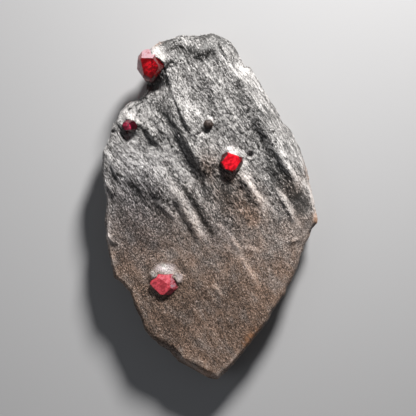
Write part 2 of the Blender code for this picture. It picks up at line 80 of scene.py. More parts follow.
# ---- outline and relief, as in the CAD ----
# The outline in plan, clockwise from the upper left.
OUTLINE = [
    (-16.8, 48.0), (-15.0, 49.5), (-12.0, 50.2), (-9.0, 51.5), (-3.0, 51.4), (0.3, 52.2),
    (3.6, 51.3), (6.3, 49.7), (9.0, 45.6), (10.6, 42.3), (12.3, 42.1), (15.0, 37.8),
    (18.3, 31.8), (21.0, 27.6), (22.2, 25.2), (24.9, 21.9), (27.0, 17.7), (28.5, 13.2),
    (30.0, 8.4), (30.4, 5.1), (31.5, 0.6), (32.3, -3.3), (32.2, -5.1), (30.9, -6.9),
    (29.1, -10.8), (27.3, -15.0), (26.1, -18.9), (24.6, -21.9), (22.5, -26.1), (20.1, -30.3),
    (18.3, -32.1), (17.3, -34.8), (14.3, -38.4), (11.1, -42.6), (8.1, -46.2), (5.4, -49.5),
    (2.4, -52.1), (-0.6, -51.5), (-4.8, -49.4), (-9.3, -47.0), (-12.0, -43.7), (-16.2, -40.7),
    (-19.5, -37.5), (-20.9, -33.3), (-23.3, -27.9), (-24.0, -25.5), (-27.0, -22.4),
    (-28.5, -21.3), (-29.9, -16.5), (-31.0, -10.5), (-31.5, -4.5), (-30.8, -0.6), (-31.7, 5.4),
    (-32.4, 9.9), (-32.1, 15.6), (-30.3, 20.1), (-29.4, 23.7), (-26.7, 28.4), (-24.0, 31.1),
    (-21.0, 32.3), (-19.2, 34.8), (-18.3, 39.0), (-18.4, 44.0), (-17.9, 47.2),
]

# A fold rises from its foot line and falls away slowly on the far side:
# points of the line, height, width of the rise, width of the fall.
FOLDS = {
    "main": ([(-19.2, 36.0), (-17.4, 32.1), (-15.0, 27.0), (-12.3, 22.5), (-9.8, 19.2),
              (-7.8, 15.6), (-6.2, 12.0), (-4.6, 8.0), (-2.4, 4.2), (1.2, -0.6)], 2.5, 3.4, 9.0),
    "main_low": ([(-8.8, 17.8), (-6.9, 13.2), (-5.4, 9.0), (-3.0, 4.8)], 0.9, 4.6, 6.0),
    "main_streak": ([(-12.6, 35.4), (-10.8, 30.6), (-8.9, 26.0), (-6.9, 21.6), (-5.1, 18.0)],
                    1.1, 1.2, 4.0),
    "upper_line": ([(-14.4, 42.0), (-13.2, 38.4), (-11.7, 33.6), (-9.9, 29.4)], 0.7, 0.9, 4.0),
    "beside_main": ([(-21.0, 30.4), (-17.6, 25.4), (-14.7, 20.4), (-11.4, 14.4)], 0.6, 1.2, 4.0),
    "shoulder": ([(-22.4, 24.9), (-20.4, 22.5), (-18.0, 19.4), (-15.6, 16.0)], 1.1, 1.5, 4.0),
    "left_face": ([(-33.0, 10.0), (-27.0, 6.0), (-22.0, 1.5), (-18.0, -3.0), (-15.0, -7.5)],
                  1.4, 7.5, 4.6),
    "lower": ([(-12.9, 12.3), (-10.2, 8.6), (-7.9, 5.0), (-6.0, 1.6), (-4.5, -1.7), (-2.7, -5.1),
               (-0.6, -8.6), (1.8, -12.0)], 0.9, 1.8, 6.0),
    "spur": ([(6.0, 12.6), (7.8, 8.4), (10.2, 4.2), (12.6, 0.9), (15.6, -2.1)], 0.6, 3.0, 6.0),
    "rim": ([(6.6, 35.4), (9.6, 30.0), (12.3, 25.2), (14.4, 20.4), (16.4, 16.2), (18.8, 12.0),
             (21.9, 8.1), (26.1, 4.2)], 1.4, 3.4, 7.0),
    "head": ([(-6.0, 41.4), (-1.2, 43.6), (4.2, 46.0)], 1.3, 3.2, 5.0),
    "head_edge": ([(0.6, 50.4), (2.4, 47.4), (4.0, 44.4), (5.4, 41.4)], 0.9, 1.2, 5.0),
    "brow": ([(-15.0, 45.0), (-11.4, 46.2), (-7.2, 47.4)], 0.8, 1.8, 3.0),
    "drape_left": ([(-3.4, 42.6), (-2.1, 37.8), (-0.9, 32.1), (0.9, 27.6)], 0.8, 2.2, 5.0),
    "drape_right": ([(4.8, 42.0), (6.9, 36.6), (8.4, 32.1), (9.9, 27.6)], 0.8, 2.4, 4.5),
}

# A ridge stands up on both sides of its line: points, height, half width.
RIDGES = {
    "crest": ([(-13.0, 8.0), (-10.4, 4.6), (-8.2, 0.3), (-6.0, -4.5), (-3.6, -9.2), (-0.6, -13.2)],
              1.1, 1.4),
    "spur_crest": ([(8.6, 13.5), (9.8, 8.7), (11.7, 4.8), (13.8, 1.5), (16.4, -1.2)], 0.8, 1.6),
    "right_line": ([(20.4, 4.8), (22.5, 1.8), (24.0, -2.7), (26.1, -6.0)], 0.6, 0.9),
    "far_line": ([(19.2, 20.1), (21.6, 13.8), (24.6, 9.0), (28.5, 6.3)], 0.7, 0.9),
    "outer_line": ([(21.9, 19.8), (24.9, 15.6), (27.3, 11.7), (29.4, 7.2)], 0.6, 0.8),
    "mid_line": ([(2.4, -5.1), (5.4, -8.1), (7.5, -11.4), (9.3, -15.3)], 0.3, 1.0),
    "low_line": ([(8.7, -13.8), (10.8, -17.7), (12.8, -21.3), (14.7, -24.6)], 0.35, 1.0),
    "cross_line": ([(4.2, -11.4), (8.1, -12.2), (12.0, -12.9), (16.2, -13.9)], 0.2, 0.8),
    "left_crease": ([(-15.9, 1.5), (-12.3, -1.8), (-9.0, -4.8)], 0.4, 0.7),
    "fleck": ([(0.9, -23.4), (2.7, -25.8), (3.9, -27.6)], 0.35, 0.6),
    "left_upper": ([(-30.6, 17.7), (-29.1, 13.8), (-27.9, 9.6), (-26.7, 5.4)], 0.6, 0.7),
    "left_middle": ([(-31.2, 8.1), (-29.7, 5.1), (-28.2, 1.8)], 0.6, 0.7),
    "left_lower": ([(-30.9, -7.5), (-29.1, -9.9), (-26.7, -11.7)], 0.8, 0.8),
    "notch_rim": ([(22.8, -11.1), (25.2, -10.2), (27.6, -9.6)], 0.4, 0.6),
}

# A collar of matrix laps up round the upper side of a garnet, on the left of its line:
# points, height, width of the inner rise, width of the outer fall.
COLLARS = {
    "top": ([(-19.2, 47.6), (-17.8, 45.6), (-16.4, 44.8), (-14.6, 43.9), (-13.2, 42.6),
             (-12.6, 41.0)], 2.4, 0.5, 5.2),
    "small": ([(-25.4, 26.0), (-24.2, 26.4), (-22.8, 25.9), (-21.5, 25.0), (-20.6, 23.4)],
              0.7, 0.4, 2.4),
    "middle": ([(3.9, 15.6), (5.4, 16.0), (7.2, 15.6), (8.8, 14.7), (9.9, 13.2)], 1.2, 0.4, 2.8),
    "bottom": ([(-17.9, -22.6), (-16.6, -20.9), (-14.6, -20.2), (-12.3, -20.2), (-10.2, -20.9),
                (-8.9, -22.6), (-8.9, -24.6)], 0.8, 0.4, 3.2),
    "dark": ([(-1.9, 24.9), (-1.4, 26.0), (-0.4, 26.4), (0.7, 25.8), (1.1, 24.6), (0.8, 23.3)],
             0.7, 0.3, 1.4),
}

# A swell is a low hump, or a hollow where its height is negative:
# centre, radii, direction in degrees, height.
SWELLS = {
    "top_dent": ((-0.3, 47.0), (3.2, 2.4), 15, -0.9),
    "head_dent": ((-7.4, 46.4), (2.4, 2.0), 0, -0.6),
    "right_trough": ((15.0, 19.0), (3.5, 8.0), 25, -0.7),
    "basin": ((3.0, 6.0), (4.5, 7.0), 30, -1.1),
    "low_basin": ((-16.0, -13.0), (5.0, 3.0), 0, -0.7),
    "under_top": ((-17.7, 35.9), (2.8, 2.2), 0, -4.0),
    "under_small": ((-24.3, 21.3), (2.1, 1.5), -20, -1.8),
    "under_middle": ((5.9, 8.9), (3.0, 1.8), 10, -0.2),
    "under_bottom": ((-17.9, -24.6), (1.4, 2.0), 0, -0.7),
    "below_bottom": ((-14.0, -27.6), (3.0, 1.2), -20, -0.2),
    "under_dark": ((-1.6, 22.2), (1.2, 1.1), 0, -0.7),
    "right_hollow": ((27.6, 0.6), (2.4, 4.0), 10, -0.9),
    "right_notch": ((26.7, -12.0), (1.1, 1.8), 0, -0.7),
    "rim_swell": ((24.0, 14.0), (4.0, 7.0), 28, 0.6),
}

# Round each garnet the schist bulges: centre, radius, height.
MOUNDS = {
    "top": ((-15.6, 42.3), 8.0, 2.4),
    "small": ((-24.0, 23.4), 3.6, 0.7),
    "middle": ((6.3, 12.9), 5.0, 1.2),
    "bottom": ((-13.5, -23.4), 6.0, 0.6),
    "dark": ((-0.6, 24.6), 2.4, 0.5),
}

# Small pits where a grain has dropped out: centre, radius, depth.
PITS = {
    "by_top": ((-11.6, 42.9), 1.0, 1.2),
    "by_middle": ((12.1, 15.3), 1.4, 1.4),
    "left_notch": ((-28.8, 22.2), 0.9, 1.1),
    "by_spur": ((9.3, 5.2), 0.8, 0.9),
    "on_rim": ((18.9, 21.9), 0.8, 0.9),
    "by_dark": ((-3.0, 21.6), 0.7, 0.7),
}

# On the back a layer has split off beyond each line: two points of the line, with the missing
# layer on its left, the layer's thickness, and the width of the broken step.
BACK_STEPS = {
    "blunt_end": ((-24.0, 28.0), (14.0, 35.0), 1.3, 1.6),
    "blunt_corner": ((5.0, 52.0), (15.0, 25.0), 1.0, 2.0),
    "right_side": ((25.0, 12.0), (18.0, -38.0), 1.6, 1.4),
    "left_side": ((-24.5, -30.0), (-20.0, 10.0), 1.1, 1.8),
    "point": ((12.0, -38.0), (-16.0, -42.0), 1.4, 2.2),
}

# ---- the garnets ----
# Each crystal: middle, height of the front facet above the middle, lean of that facet (azimuth,
# angle), and its facets as azimuth, tilt from +Z, and reach: how far from the axis the facet
# meets the level of the front. The steep facets of a dodecahedron lie 60 and 90 degrees from the
# front one, and those of a trapezohedron between them.
GARNETS = {
    "garnet_top": {
        "middle": (-17.55, 41.7, 10.9), "front": 4.4, "lean": (250, 5),
        "facets": [(90, 56, 2.4), (195, 62, 2.57), (241, 50, 2.95), (5, 55, 2.15), (323, 68, 2.35),
                   (37, 54, 1.9), (142, 68, 3.7), (175, 90, 4.2), (140, 90, 5.0), (103, 90, 5.4),
                   (60, 90, 4.2), (215, 90, 3.95), (262, 90, 4.5), (323, 90, 3.1), (15, 90, 4.6)],
    },
    "garnet_small": {
        "middle": (-23.9, 23.9, 10.9), "front": 2.3, "lean": (0, 0),
        "facets": [(195, 34, 0.1), (18, 36, 0.1), (250, 60, 1.0), (305, 60, 1.2), (100, 58, 0.9),
                   (150, 58, 1.5), (172, 90, 2.3), (215, 90, 2.0), (260, 90, 1.9), (310, 90, 2.0),
                   (350, 90, 2.1), (25, 90, 1.95), (75, 90, 1.7), (125, 90, 2.1)],
    },
    "garnet_middle": {
        "middle": (6.45, 13.2, 10.1), "front": 3.2, "lean": (120, 6),
        "facets": [(90, 50, 2.1), (140, 54, 2.1), (30, 52, 2.5), (330, 60, 2.3), (205, 60, 2.6),
                   (255, 62, 2.6), (290, 58, 2.7), (165, 90, 3.3), (130, 90, 3.4), (205, 90, 3.1),
                   (250, 90, 2.8), (300, 90, 3.1), (335, 90, 3.25), (15, 90, 3.3), (70, 90, 2.3)],
    },
    "garnet_bottom": {
        "middle": (-13.5, -23.6, 8.9), "front": 3.6, "lean": (80, 6),
        "facets": [(222, 10, -1.0), (5, 30, 1.5), (300, 36, 1.6), (90, 54, 2.8), (146, 48, 2.8),
                   (165, 90, 4.4), (225, 90, 3.0), (268, 90, 3.0), (315, 90, 3.3), (0, 90, 4.1),
                   (38, 90, 3.9), (90, 90, 3.2), (130, 90, 3.7)],
    },
    "garnet_dark": {
        "middle": (-0.5, 24.45, 10.9), "front": 1.6, "lean": (0, 0),
        "facets": [(20, 38, 0.5), (92, 40, 0.45), (165, 38, 0.45), (235, 42, 0.5), (300, 38, 0.45),
                   (0, 68, 1.0), (60, 68, 1.05), (125, 68, 1.05), (195, 68, 1.0), (265, 68, 1.0),
                   (325, 68, 1.1), (30, 90, 1.4), (90, 90, 1.4), (150, 90, 1.4), (210, 90, 1.4),
                   (270, 90, 1.4), (330, 90, 1.4)],
    },
}


# ---- shapes in plan ----
def smooth(t):
    """0 below 0, 1 above 1, and a smooth step between."""
    t = np.clip(t, 0.0, 1.0)
    return t * t * (3.0 - 2.0 * t)


def fade(t):
    """1 below 0, 0 above 1, and a smooth step between."""
    return 1.0 - smooth(t)


def turned(x, y, angle):
    """Distances from the middle, along and across an angle."""
    return (x * math.cos(angle) + y * math.sin(angle), y * math.cos(angle) - x * math.sin(angle))


def lattice_noise(x, y, cell, seed, stretch=1.0, angle=0.0):
    """Smooth seeded noise in -1..1, its grains stretched along an angle."""
    along, across = turned(x, y, angle)
    u, v = along / (cell * stretch), across / cell
    table = np.random.default_rng(seed).uniform(-1.0, 1.0, (CELLS, CELLS))
    column, row = np.floor(u).astype(int), np.floor(v).astype(int)
    right, up = smooth(u - column), smooth(v - row)

    def corner(i, j):
        return table[(column + i) % CELLS, (row + j) % CELLS]

    low = corner(0, 0) * (1 - right) + corner(1, 0) * right
    high = corner(0, 1) * (1 - right) + corner(1, 1) * right
    return low * (1 - up) + high * up


def bent_line(x, y, points):
    """Distance to the left of a smoothly bent line, and share along it."""
    points = np.array(points, float)
    chord = points[-1] - points[0]
    length = math.hypot(*chord)
    along, across = chord / length, np.array((-chord[1], chord[0])) / length
    bend = np.polyfit((points - points[0]) @ along, (points - points[0]) @ across, 2)
    u = (x - points[0][0]) * along[0] + (y - points[0][1]) * along[1]
    v = (x - points[0][0]) * across[0] + (y - points[0][1]) * across[1]
    return v - np.polyval(bend, np.clip(u, 0.0, length)), u / length


def tapered(share, taper):
    """1 along a line's middle, falling to 0 at both its ends."""
    return smooth(np.minimum(share, 1.0 - share) / taper)


def rise_and_fall(left, rise, fall):
    """0 to the right of a line, up to 1 over the rise on its left, and back to 0 over the fall."""
    return np.where(left < rise, smooth(left / rise), fade((left - rise) / fall))


def fold(x, y, points, height, rise, fall):
    left, share = bent_line(x, y, points)
    return height * tapered(share, 0.45) * rise_and_fall(left, rise, fall)


def ridge(x, y, points, height, half_width):
    left, share = bent_line(x, y, points)
    return height * tapered(share, 0.35) * np.exp(-(left / half_width) ** 2)


def polyline(x, y, points):
    """Distance to the left of a line of straight runs, and share along it."""
    points = np.array(points, float)
    runs = np.diff(points, axis=0)
    lengths = np.hypot(*runs.T)
    starts = np.cumsum(lengths) - lengths
    nearest, side, along = np.full(x.shape, 1e9), np.ones(x.shape), np.zeros(x.shape)
    for point, run, length, start in zip(points, runs, lengths, starts):
        share = ((x - point[0]) * run[0] + (y - point[1]) * run[1]) / length ** 2
        share = np.clip(share, 0.0, 1.0)
        distance = np.hypot(x - point[0] - share * run[0], y - point[1] - share * run[1])
        left = run[0] * (y - point[1]) - run[1] * (x - point[0])
        closer = distance < nearest
        side = np.where(closer, np.sign(left), side)
        along = np.where(closer, (start + share * length) / lengths.sum(), along)
        nearest = np.where(closer, distance, nearest)
    return nearest * side, along


def collar(x, y, points, height, rise, fall):
    left, share = polyline(x, y, points)
    return height * tapered(share, 0.22) * rise_and_fall(left + COLLAR_LAP, rise, fall)


def swell(x, y, centre, radii, direction, height):
    u, v = turned(x - centre[0], y - centre[1], math.radians(direction))
    return height * np.exp(-(u / radii[0]) ** 2 - (v / radii[1]) ** 2)


def mound(x, y, centre, radius, height):
    return height * fade(np.hypot(x - centre[0], y - centre[1]) / radius)


def inside_distance(x, y):
    """Distance in from the outline, negative outside it."""
    left, _ = polyline(x, y, OUTLINE + OUTLINE[:1])
    return -left


def front_height(x, y, inside):
    """Height of the slab's front: its crown, the relief on it, and its rounded rim."""
    z = FRONT_HEIGHT - CROWN_ACROSS * x ** 2 - CROWN_ALONG * y ** 2
    for shape, features in ((fold, FOLDS), (ridge, RIDGES), (collar, COLLARS), (swell, SWELLS),
                            (mound, MOUNDS)):
        for feature in features.values():
            z = z + shape(x, y, *feature)
    streaky = 0.35 + 0.65 * smooth((y + 14.0) / 22.0)
    z = z + 0.40 * streaky * lattice_noise(x, y, 7.0, 1, 2.0, FLOW)
    z = z + 0.22 * streaky * lattice_noise(x, y, 3.0, 2, 2.0, FLOW)
    worn_side = smooth((0.85 * x + 0.5 * y - 14.0) / 8.0)
    bevelled_corner = swell(x, y, (-9.0, -47.0), (10.0, 6.0), 0, 1.0)
    z = z - 2.4 * worn_side * fade(inside / 6.0)
    z = z - 3.4 * bevelled_corner * fade(inside / 2.6)
    return z - 0.8 * fade(inside / 1.1)


def back_height(x, y):
    """Height of the slab's back, where some layers have split off towards the rim."""
    z = BACK_DEPTH + 0.25 * lattice_noise(x, y, 9.0, 21, 2.0, FLOW)
    for start, end, thickness, width in BACK_STEPS.values():
        run = np.array(end) - np.array(start)
        left = (run[0] * (y - start[1]) - run[1] * (x - start[0])) / math.hypot(*run)
        left = left + 1.5 * lattice_noise(x, y, 5.0, 22)
        z = z + thickness * smooth(left / width)
    return z


def around_rim(x, y):
    """Distance round the slab, from its right side."""
    return np.arctan2(y, x) * MEAN_RADIUS


def side_inset(x, y, share):
    """How far the broken side lies inside the outline, by share of the slab's height."""
    around = around_rim(x, y)
    layers = 0.5 + 0.5 * lattice_noise(around, share * 12.0, 3.0, 31, 3.0)
    chips = 0.5 + 0.5 * lattice_noise(around, share * 12.0, 9.0, 32)
    undercut = fade(share / 0.5)
    return 0.9 * layers * fade((share - 0.75) / 0.2) + undercut * (0.6 + 2.4 * chips)


# ---- relief too small for the CAD ----
# The grain bends round two of the garnets: centre, radii, direction, and how far it is pushed.
FLOW_BENDS = [((-17.4, 41.4), (8.0, 8.0), 0, -2.4), ((-24.6, 22.8), (8.5, 8.5), 0, 2.6)]


def flow_lines(x, y):
    """How far a point lies along the schist's bent grain and across it."""
    along, across = turned(x, y, FLOW)
    for bend in FLOW_BENDS:
        across = across + swell(x, y, *bend)
    return along, across + 0.5 * lattice_noise(x, y, 6.0, 6, 1.5, FLOW)


def rises(height, x, y, step):
    """How much a height grows from a step before each point to a step after it, in x and in y."""
    return (height(x + step, y) - height(x - step, y), height(x, y + step) - height(x, y - step))


def flow_direction(x, y):
    """The way the grain runs at a point."""
    rise_x, rise_y = rises(lambda px, py: flow_lines(px, py)[1], x, y, FLOW_STEP)
    return np.arctan2(-rise_x, rise_y)


def scales(along, across, size, stretch, seed, lean):
    """Overlapping scales: each cell of a jittered lattice is a small plane with its own tilt."""
    u, v = along / (size * stretch), across / size
    draw = np.random.default_rng(seed)
    middle_u, middle_v = draw.uniform(0.1, 0.9, (2, CELLS, CELLS))
    tilt_u, tilt_v, lift = draw.normal(0.0, lean, (3, CELLS, CELLS))
    column, row = np.floor(u).astype(int), np.floor(v).astype(int)
    nearest, height = np.full(u.shape, 1e9), np.zeros(u.shape)
    for i in (-1, 0, 1):
        for j in (-1, 0, 1):
            cell = (column + i) % CELLS, (row + j) % CELLS
            du, dv = u - (column + i + middle_u[cell]), v - (row + j + middle_v[cell])
            distance = du ** 2 + dv ** 2
            closer = distance < nearest
            plane = 0.6 * stretch * du * tilt_u[cell] + dv * tilt_v[cell] + 0.25 * lift[cell]
            nearest = np.where(closer, distance, nearest)
            height = np.where(closer, size * plane, height)
    return height


def liveliness(y):
    """1 over the streaky upper half of the front, falling to 0 over the finer lower half."""
    return smooth((y + 16.0) / 26.0)


def fine_relief(x, y):
    """The streaky, scaly skin of the front: coarse over the upper half, calmer below."""
    scaly = 0.3 + 0.7 * liveliness(y)
    u, v = flow_lines(x, y)
    z = scales(u, v, 0.8, 3.4, 11, 0.06) + scales(u, v, 0.45, 2.6, 12, 0.09)
    z = z + 0.16 * lattice_noise(u, v, 2.8, 8, 6.0) + 0.14 * lattice_noise(u, v, 1.6, 3, 5.0)
    z = z + 0.09 * lattice_noise(u, v, 0.8, 7, 5.0)
    z = z + 0.04 * lattice_noise(u, v, 0.45, 4, 2.4)
    return scaly * z + 0.04 * lattice_noise(x, y, 0.42, 5) + 0.05 * lattice_noise(x, y, 0.9, 9)


def pits(x, y):
    return sum(mound(x, y, *pit) for pit in PITS.values())


def side_ledges(x, y, share):
    """Thin broken sheets in the side: how far each lies inside the outline."""
    around = around_rim(x, y)
    level = share * FRONT_HEIGHT + 0.8 * lattice_noise(around, around * 0.0, 11.0, 43)
    sheet = np.floor(level / LAYER)
    broken = 0.5 + 0.5 * lattice_noise(around, sheet * 7.3, 2.1, 41)
    chipped = 0.5 + 0.5 * lattice_noise(around, level, 0.9, 42)
    return 0.75 * broken + 0.35 * chipped


def rim_chips(x, y, share):
    """Chips along the rim and the sheets' broken ends, wider than they are thick."""
    around, level = around_rim(x, y), share * FRONT_HEIGHT
    return 0.24 * (1.0 + lattice_noise(around, level, 1.3, 44, 2.0)) + 0.17 * (
        1.0 + lattice_noise(around, level, 1.1, 45, 1.2))


# ---- meshes ----
def add_object(name, data):
    added = bpy.data.objects.new(name, data)
    bpy.context.scene.collection.objects.link(added)
    return added


def give_finish(mesh, finish):
    mesh.materials.clear()
    mesh.materials.append(finish)


def add_piece(name, mesh, finish):
    give_finish(mesh, finish)
    return add_object(name, mesh)


def evaluated_mesh(obj):
    """An object's shape as a mesh of its own, with its modifiers applied."""
    graph = bpy.context.evaluated_depsgraph_get()
    return bpy.data.meshes.new_from_object(obj.evaluated_get(graph), depsgraph=graph)


def apply_modifiers(obj):
    mesh = evaluated_mesh(obj)
    obj.modifiers.clear()
    obj.data = mesh


@contextmanager
def editing(mesh):
    """The mesh as a bmesh, whose changes go back into it at the end."""
    edit = bmesh.new()
    edit.from_mesh(mesh)
    yield edit
    edit.to_mesh(mesh)
    edit.free()


def outline_plate(thickness):
    """A flat plate with the slab's outline, its lower face at z = 0."""
    curve = bpy.data.curves.new("slab_outline", "CURVE")
    curve.dimensions = "2D"
    curve.fill_mode = "BOTH"
    curve.extrude = thickness * MM / 2
    spline = curve.splines.new("POLY")
    spline.points.add(len(OUTLINE) - 1)
    for point, (x, y) in zip(spline.points, OUTLINE):
        point.co = (x * MM, y * MM, 0.0, 1.0)
    spline.use_cyclic_u = True
    outline = add_object("slab_outline", curve)
    mesh = evaluated_mesh(outline)
    bpy.data.objects.remove(outline)
    with editing(mesh) as edit:
        bmesh.ops.remove_doubles(edit, verts=edit.verts, dist=0.01 * MM)
        bmesh.ops.translate(edit, verts=edit.verts, vec=(0.0, 0.0, thickness * MM / 2))
    return mesh


def positions(mesh):
    flat = np.empty(len(mesh.vertices) * 3)
    mesh.vertices.foreach_get("co", flat)
    return flat.reshape(-1, 3) / MM


def set_positions(mesh, points):
    mesh.vertices.foreach_set("co", (points * MM).ravel())
    mesh.update()


def point_attribute(mesh, name, values):
    layer = mesh.attributes.new(name, "FLOAT", "POINT")
    layer.data.foreach_set("value", np.asarray(values, np.float32))


def shape_slab(mesh, thickness):
    """The CAD slab's shaping with the fine relief, ledges and chips on top."""
    points = positions(mesh)
    x, y, share = points[:, 0], points[:, 1], np.clip(points[:, 2] / thickness, 0.0, 1.0)
    inside = np.maximum(inside_distance(x, y), 0.0)
    outward = np.stack((x / WIDTH ** 2, y / LENGTH ** 2))
    outward = outward / np.maximum(np.hypot(*outward), 1e-9)
    inset = side_inset(x, y, share) * fade(inside / 5.0)
    ledge_reach = fade(inside / 1.8) * fade((share - 0.86) / 0.12)
    inset = inset + side_ledges(x, y, share) * ledge_reach
    inset = inset + rim_chips(x, y, share) * fade(inside / 1.4)
    top = front_height(x, y, inside) + fine_relief(x, y) - pits(x, y)
    grain = 0.08 * (1.0 + lattice_noise(x, y, 0.9, 46, 2.0, FLOW)) + 0.05 * (
        1.0 + lattice_noise(x, y, 0.5, 47))
    bottom = np.maximum(back_height(x, y), 0.0) + grain
    points[:, 0] = x - outward[0] * inset
    points[:, 1] = y - outward[1] * inset
    points[:, 2] = bottom + share * (top - bottom)
    set_positions(mesh, points)


def fit_box(mesh, low, high):
    """Scale the slab in plan to the CAD slab's box, and set it on z = 0."""
    points = positions(mesh)
    for axis in (0, 1):
        first, last = points[:, axis].min(), points[:, axis].max()
        share = (points[:, axis] - first) / (last - first)
        points[:, axis] = (low[axis] + share * (high[axis] - low[axis])) / MM
    points[:, 2] -= points[:, 2].min()
    set_positions(mesh, points)


def keep_largest_piece(mesh):
    """Drop any crumb of matrix that a pocket has cut off the slab."""
    with editing(mesh) as edit:
        unseen, groups = set(edit.verts), []
        while unseen:
            stack, group = [unseen.pop()], []
            while stack:
                vertex = stack.pop()
                group.append(vertex)
                for edge in vertex.link_edges:
                    other = edge.other_vert(vertex)
                    if other in unseen:
                        unseen.remove(other)
                        stack.append(other)
            groups.append(group)
        groups.sort(key=len)
        for crumb in groups[:-1]:
            bmesh.ops.delete(edit, geom=crumb, context="VERTS")


# ---- garnets ----
# How a facet looks, as frosted, glowing and coated shares, by its azimuth and tilt; (0, 0) is the
# front one. The glowing share is painted light: a diffuse bright red that stands in for light
# coming back out of the crystal. The frosted share is partly painted reflection, a pale pink on the
# facets that face the lamp, such as the top and left ones of garnet_top. A facet without an entry
# is like the rest of the front, or like the buried ones.
USUAL = (0.05, 0.3, 0.0)
BURIED = (0.5, 0.4, 0.0)
DARK = (0.0, 0.0, 0.0)
FACET_LOOKS = {
    "garnet_top": {
        (0, 0): (0.0, 0.5, 0.0), (90, 56): (0.5, 0.15, 1.0), (195, 62): (0.6, 0.5, 0.35),
        (241, 50): (0.35, 0.4, 0.1), (5, 55): (0.0, 0.1, 0.0), (323, 68): (0.0, 0.05, 0.0),
        (37, 54): (0.0, 0.1, 0.1), (142, 68): (0.2, 0.6, 0.0),
    },
    "garnet_small": {
        (0, 0): (0.0, 0.9, 0.0), (195, 34): (0.08, 1.0, 0.0), (18, 36): (0.0, 0.15, 0.0),
        (250, 60): (0.0, 0.1, 0.0), (305, 60): DARK, (215, 90): DARK, (260, 90): DARK,
        (310, 90): DARK, (172, 90): DARK,
    },
    "garnet_middle": {
        (0, 0): (0.0, 0.9, 0.0), (140, 54): (0.1, 0.0, 0.1), (330, 60): (0.0, 0.0, 0.1),
        (90, 50): (0.05, 0.85, 0.0), (30, 52): (0.05, 0.3, 0.0), (205, 60): (0.0, 0.8, 0.0),
        (255, 62): (0.0, 0.8, 0.0), (290, 58): (0.0, 0.3, 0.0),
    },
    "garnet_bottom": {
        (0, 0): (0.14, 1.0, 0.5), (222, 10): (0.10, 1.0, 0.10), (5, 30): (0.2, 0.3, 1.0),
        (300, 36): (0.10, 0.7, 0.4), (90, 54): (0.1, 0.4, 0.1), (146, 48): (0.1, 0.9, 0.0),
    },
    "garnet_dark": {},
}


def facet_normal(azimuth, tilt):
    """A facet's outward normal, as its level part and its upright part."""
    turn, slope = math.radians(azimuth), math.radians(tilt)
    flat = Vector((math.cos(turn), math.sin(turn), 0.0)) * math.sin(slope)
    return flat, Vector((0.0, 0.0, math.cos(slope)))


def crystal_planes(garnet):
    """The facets' planes, as outward normal and distance from the crystal's middle."""
    front = garnet["front"]
    lean = Matrix.Rotation(math.radians(garnet["lean"][0]), 3, "Z")
    lean = lean @ Matrix.Rotation(math.radians(garnet["lean"][1]), 3, "Y")
    planes = [(lean @ Vector((0.0, 0.0, 1.0)), front), (Vector((0.0, 0.0, -1.0)), front)]
    for azimuth, tilt, reach in garnet["facets"]:
        flat, rise = facet_normal(azimuth, tilt)
        slope = math.radians(tilt)
        distance = reach * math.sin(slope) + front * math.cos(slope)
        planes.append((flat + rise, distance))
        if tilt < 80:
            planes.append((flat - rise, distance))
    return planes


def crystal_mesh(name, garnet, grow=0.0, edge=0.0):
    """A garnet cut facet by facet out of a cube, each facet moved out by grow."""
    mesh = bpy.data.meshes.new(name)
    with editing(mesh) as edit:
        bmesh.ops.create_cube(edit, size=8.0 * garnet["front"] * MM)
        for normal, distance in crystal_planes(garnet):
            everything = edit.verts[:] + edit.edges[:] + edit.faces[:]
            point = normal * (distance + grow) * MM
            sliced = bmesh.ops.bisect_plane(edit, geom=everything, plane_co=point, plane_no=normal,
                                            dist=0.00001 * MM, clear_outer=True)
            rim = [part for part in sliced["geom_cut"] if isinstance(part, bmesh.types.BMEdge)]
            if rim:
                bmesh.ops.contextual_create(edit, geom=rim)
        bmesh.ops.remove_doubles(edit, verts=edit.verts, dist=0.02 * MM)
        if edge:
            bmesh.ops.bevel(edit, geom=edit.edges[:], offset=edge * MM, segments=2, profile=0.6,
                            affect="EDGES", clamp_overlap=True)
        bmesh.ops.translate(edit, verts=edit.verts, vec=Vector(garnet["middle"]) * MM)
        bmesh.ops.recalc_face_normals(edit, faces=edit.faces)
    return mesh


def build_garnet(name, garnet, finish):
    """The dressed crystal, with how frosted (partly painted reflection), glowing (painted light) or
    coated each facet is.
    """
    mesh = crystal_mesh(name, garnet, edge=CRYSTAL_EDGE)
    normals = {(0, 0): crystal_planes(garnet)[0][0]}
    for azimuth, tilt, _ in garnet["facets"]:
        flat, rise = facet_normal(azimuth, tilt)
        normals[azimuth, tilt] = flat + rise
    values = []
    for face in mesh.polygons:
        nearest = max(normals, key=lambda facet: normals[facet].dot(face.normal))
        values.append(FACET_LOOKS[name].get(nearest, BURIED if face.normal.z < 0.15 else USUAL))
    for column, attribute in enumerate(("frost_and_reflection", "painted_glow", "coat")):
        layer = mesh.attributes.new(attribute, "FLOAT", "FACE")
        layer.data.foreach_set("value", [value[column] for value in values])
    crystal = add_piece(name + "_crystal", mesh, finish)
    mesh.shade_smooth()
    mesh.set_sharp_from_angle(angle=CRYSTAL_CREASE)
    return crystal


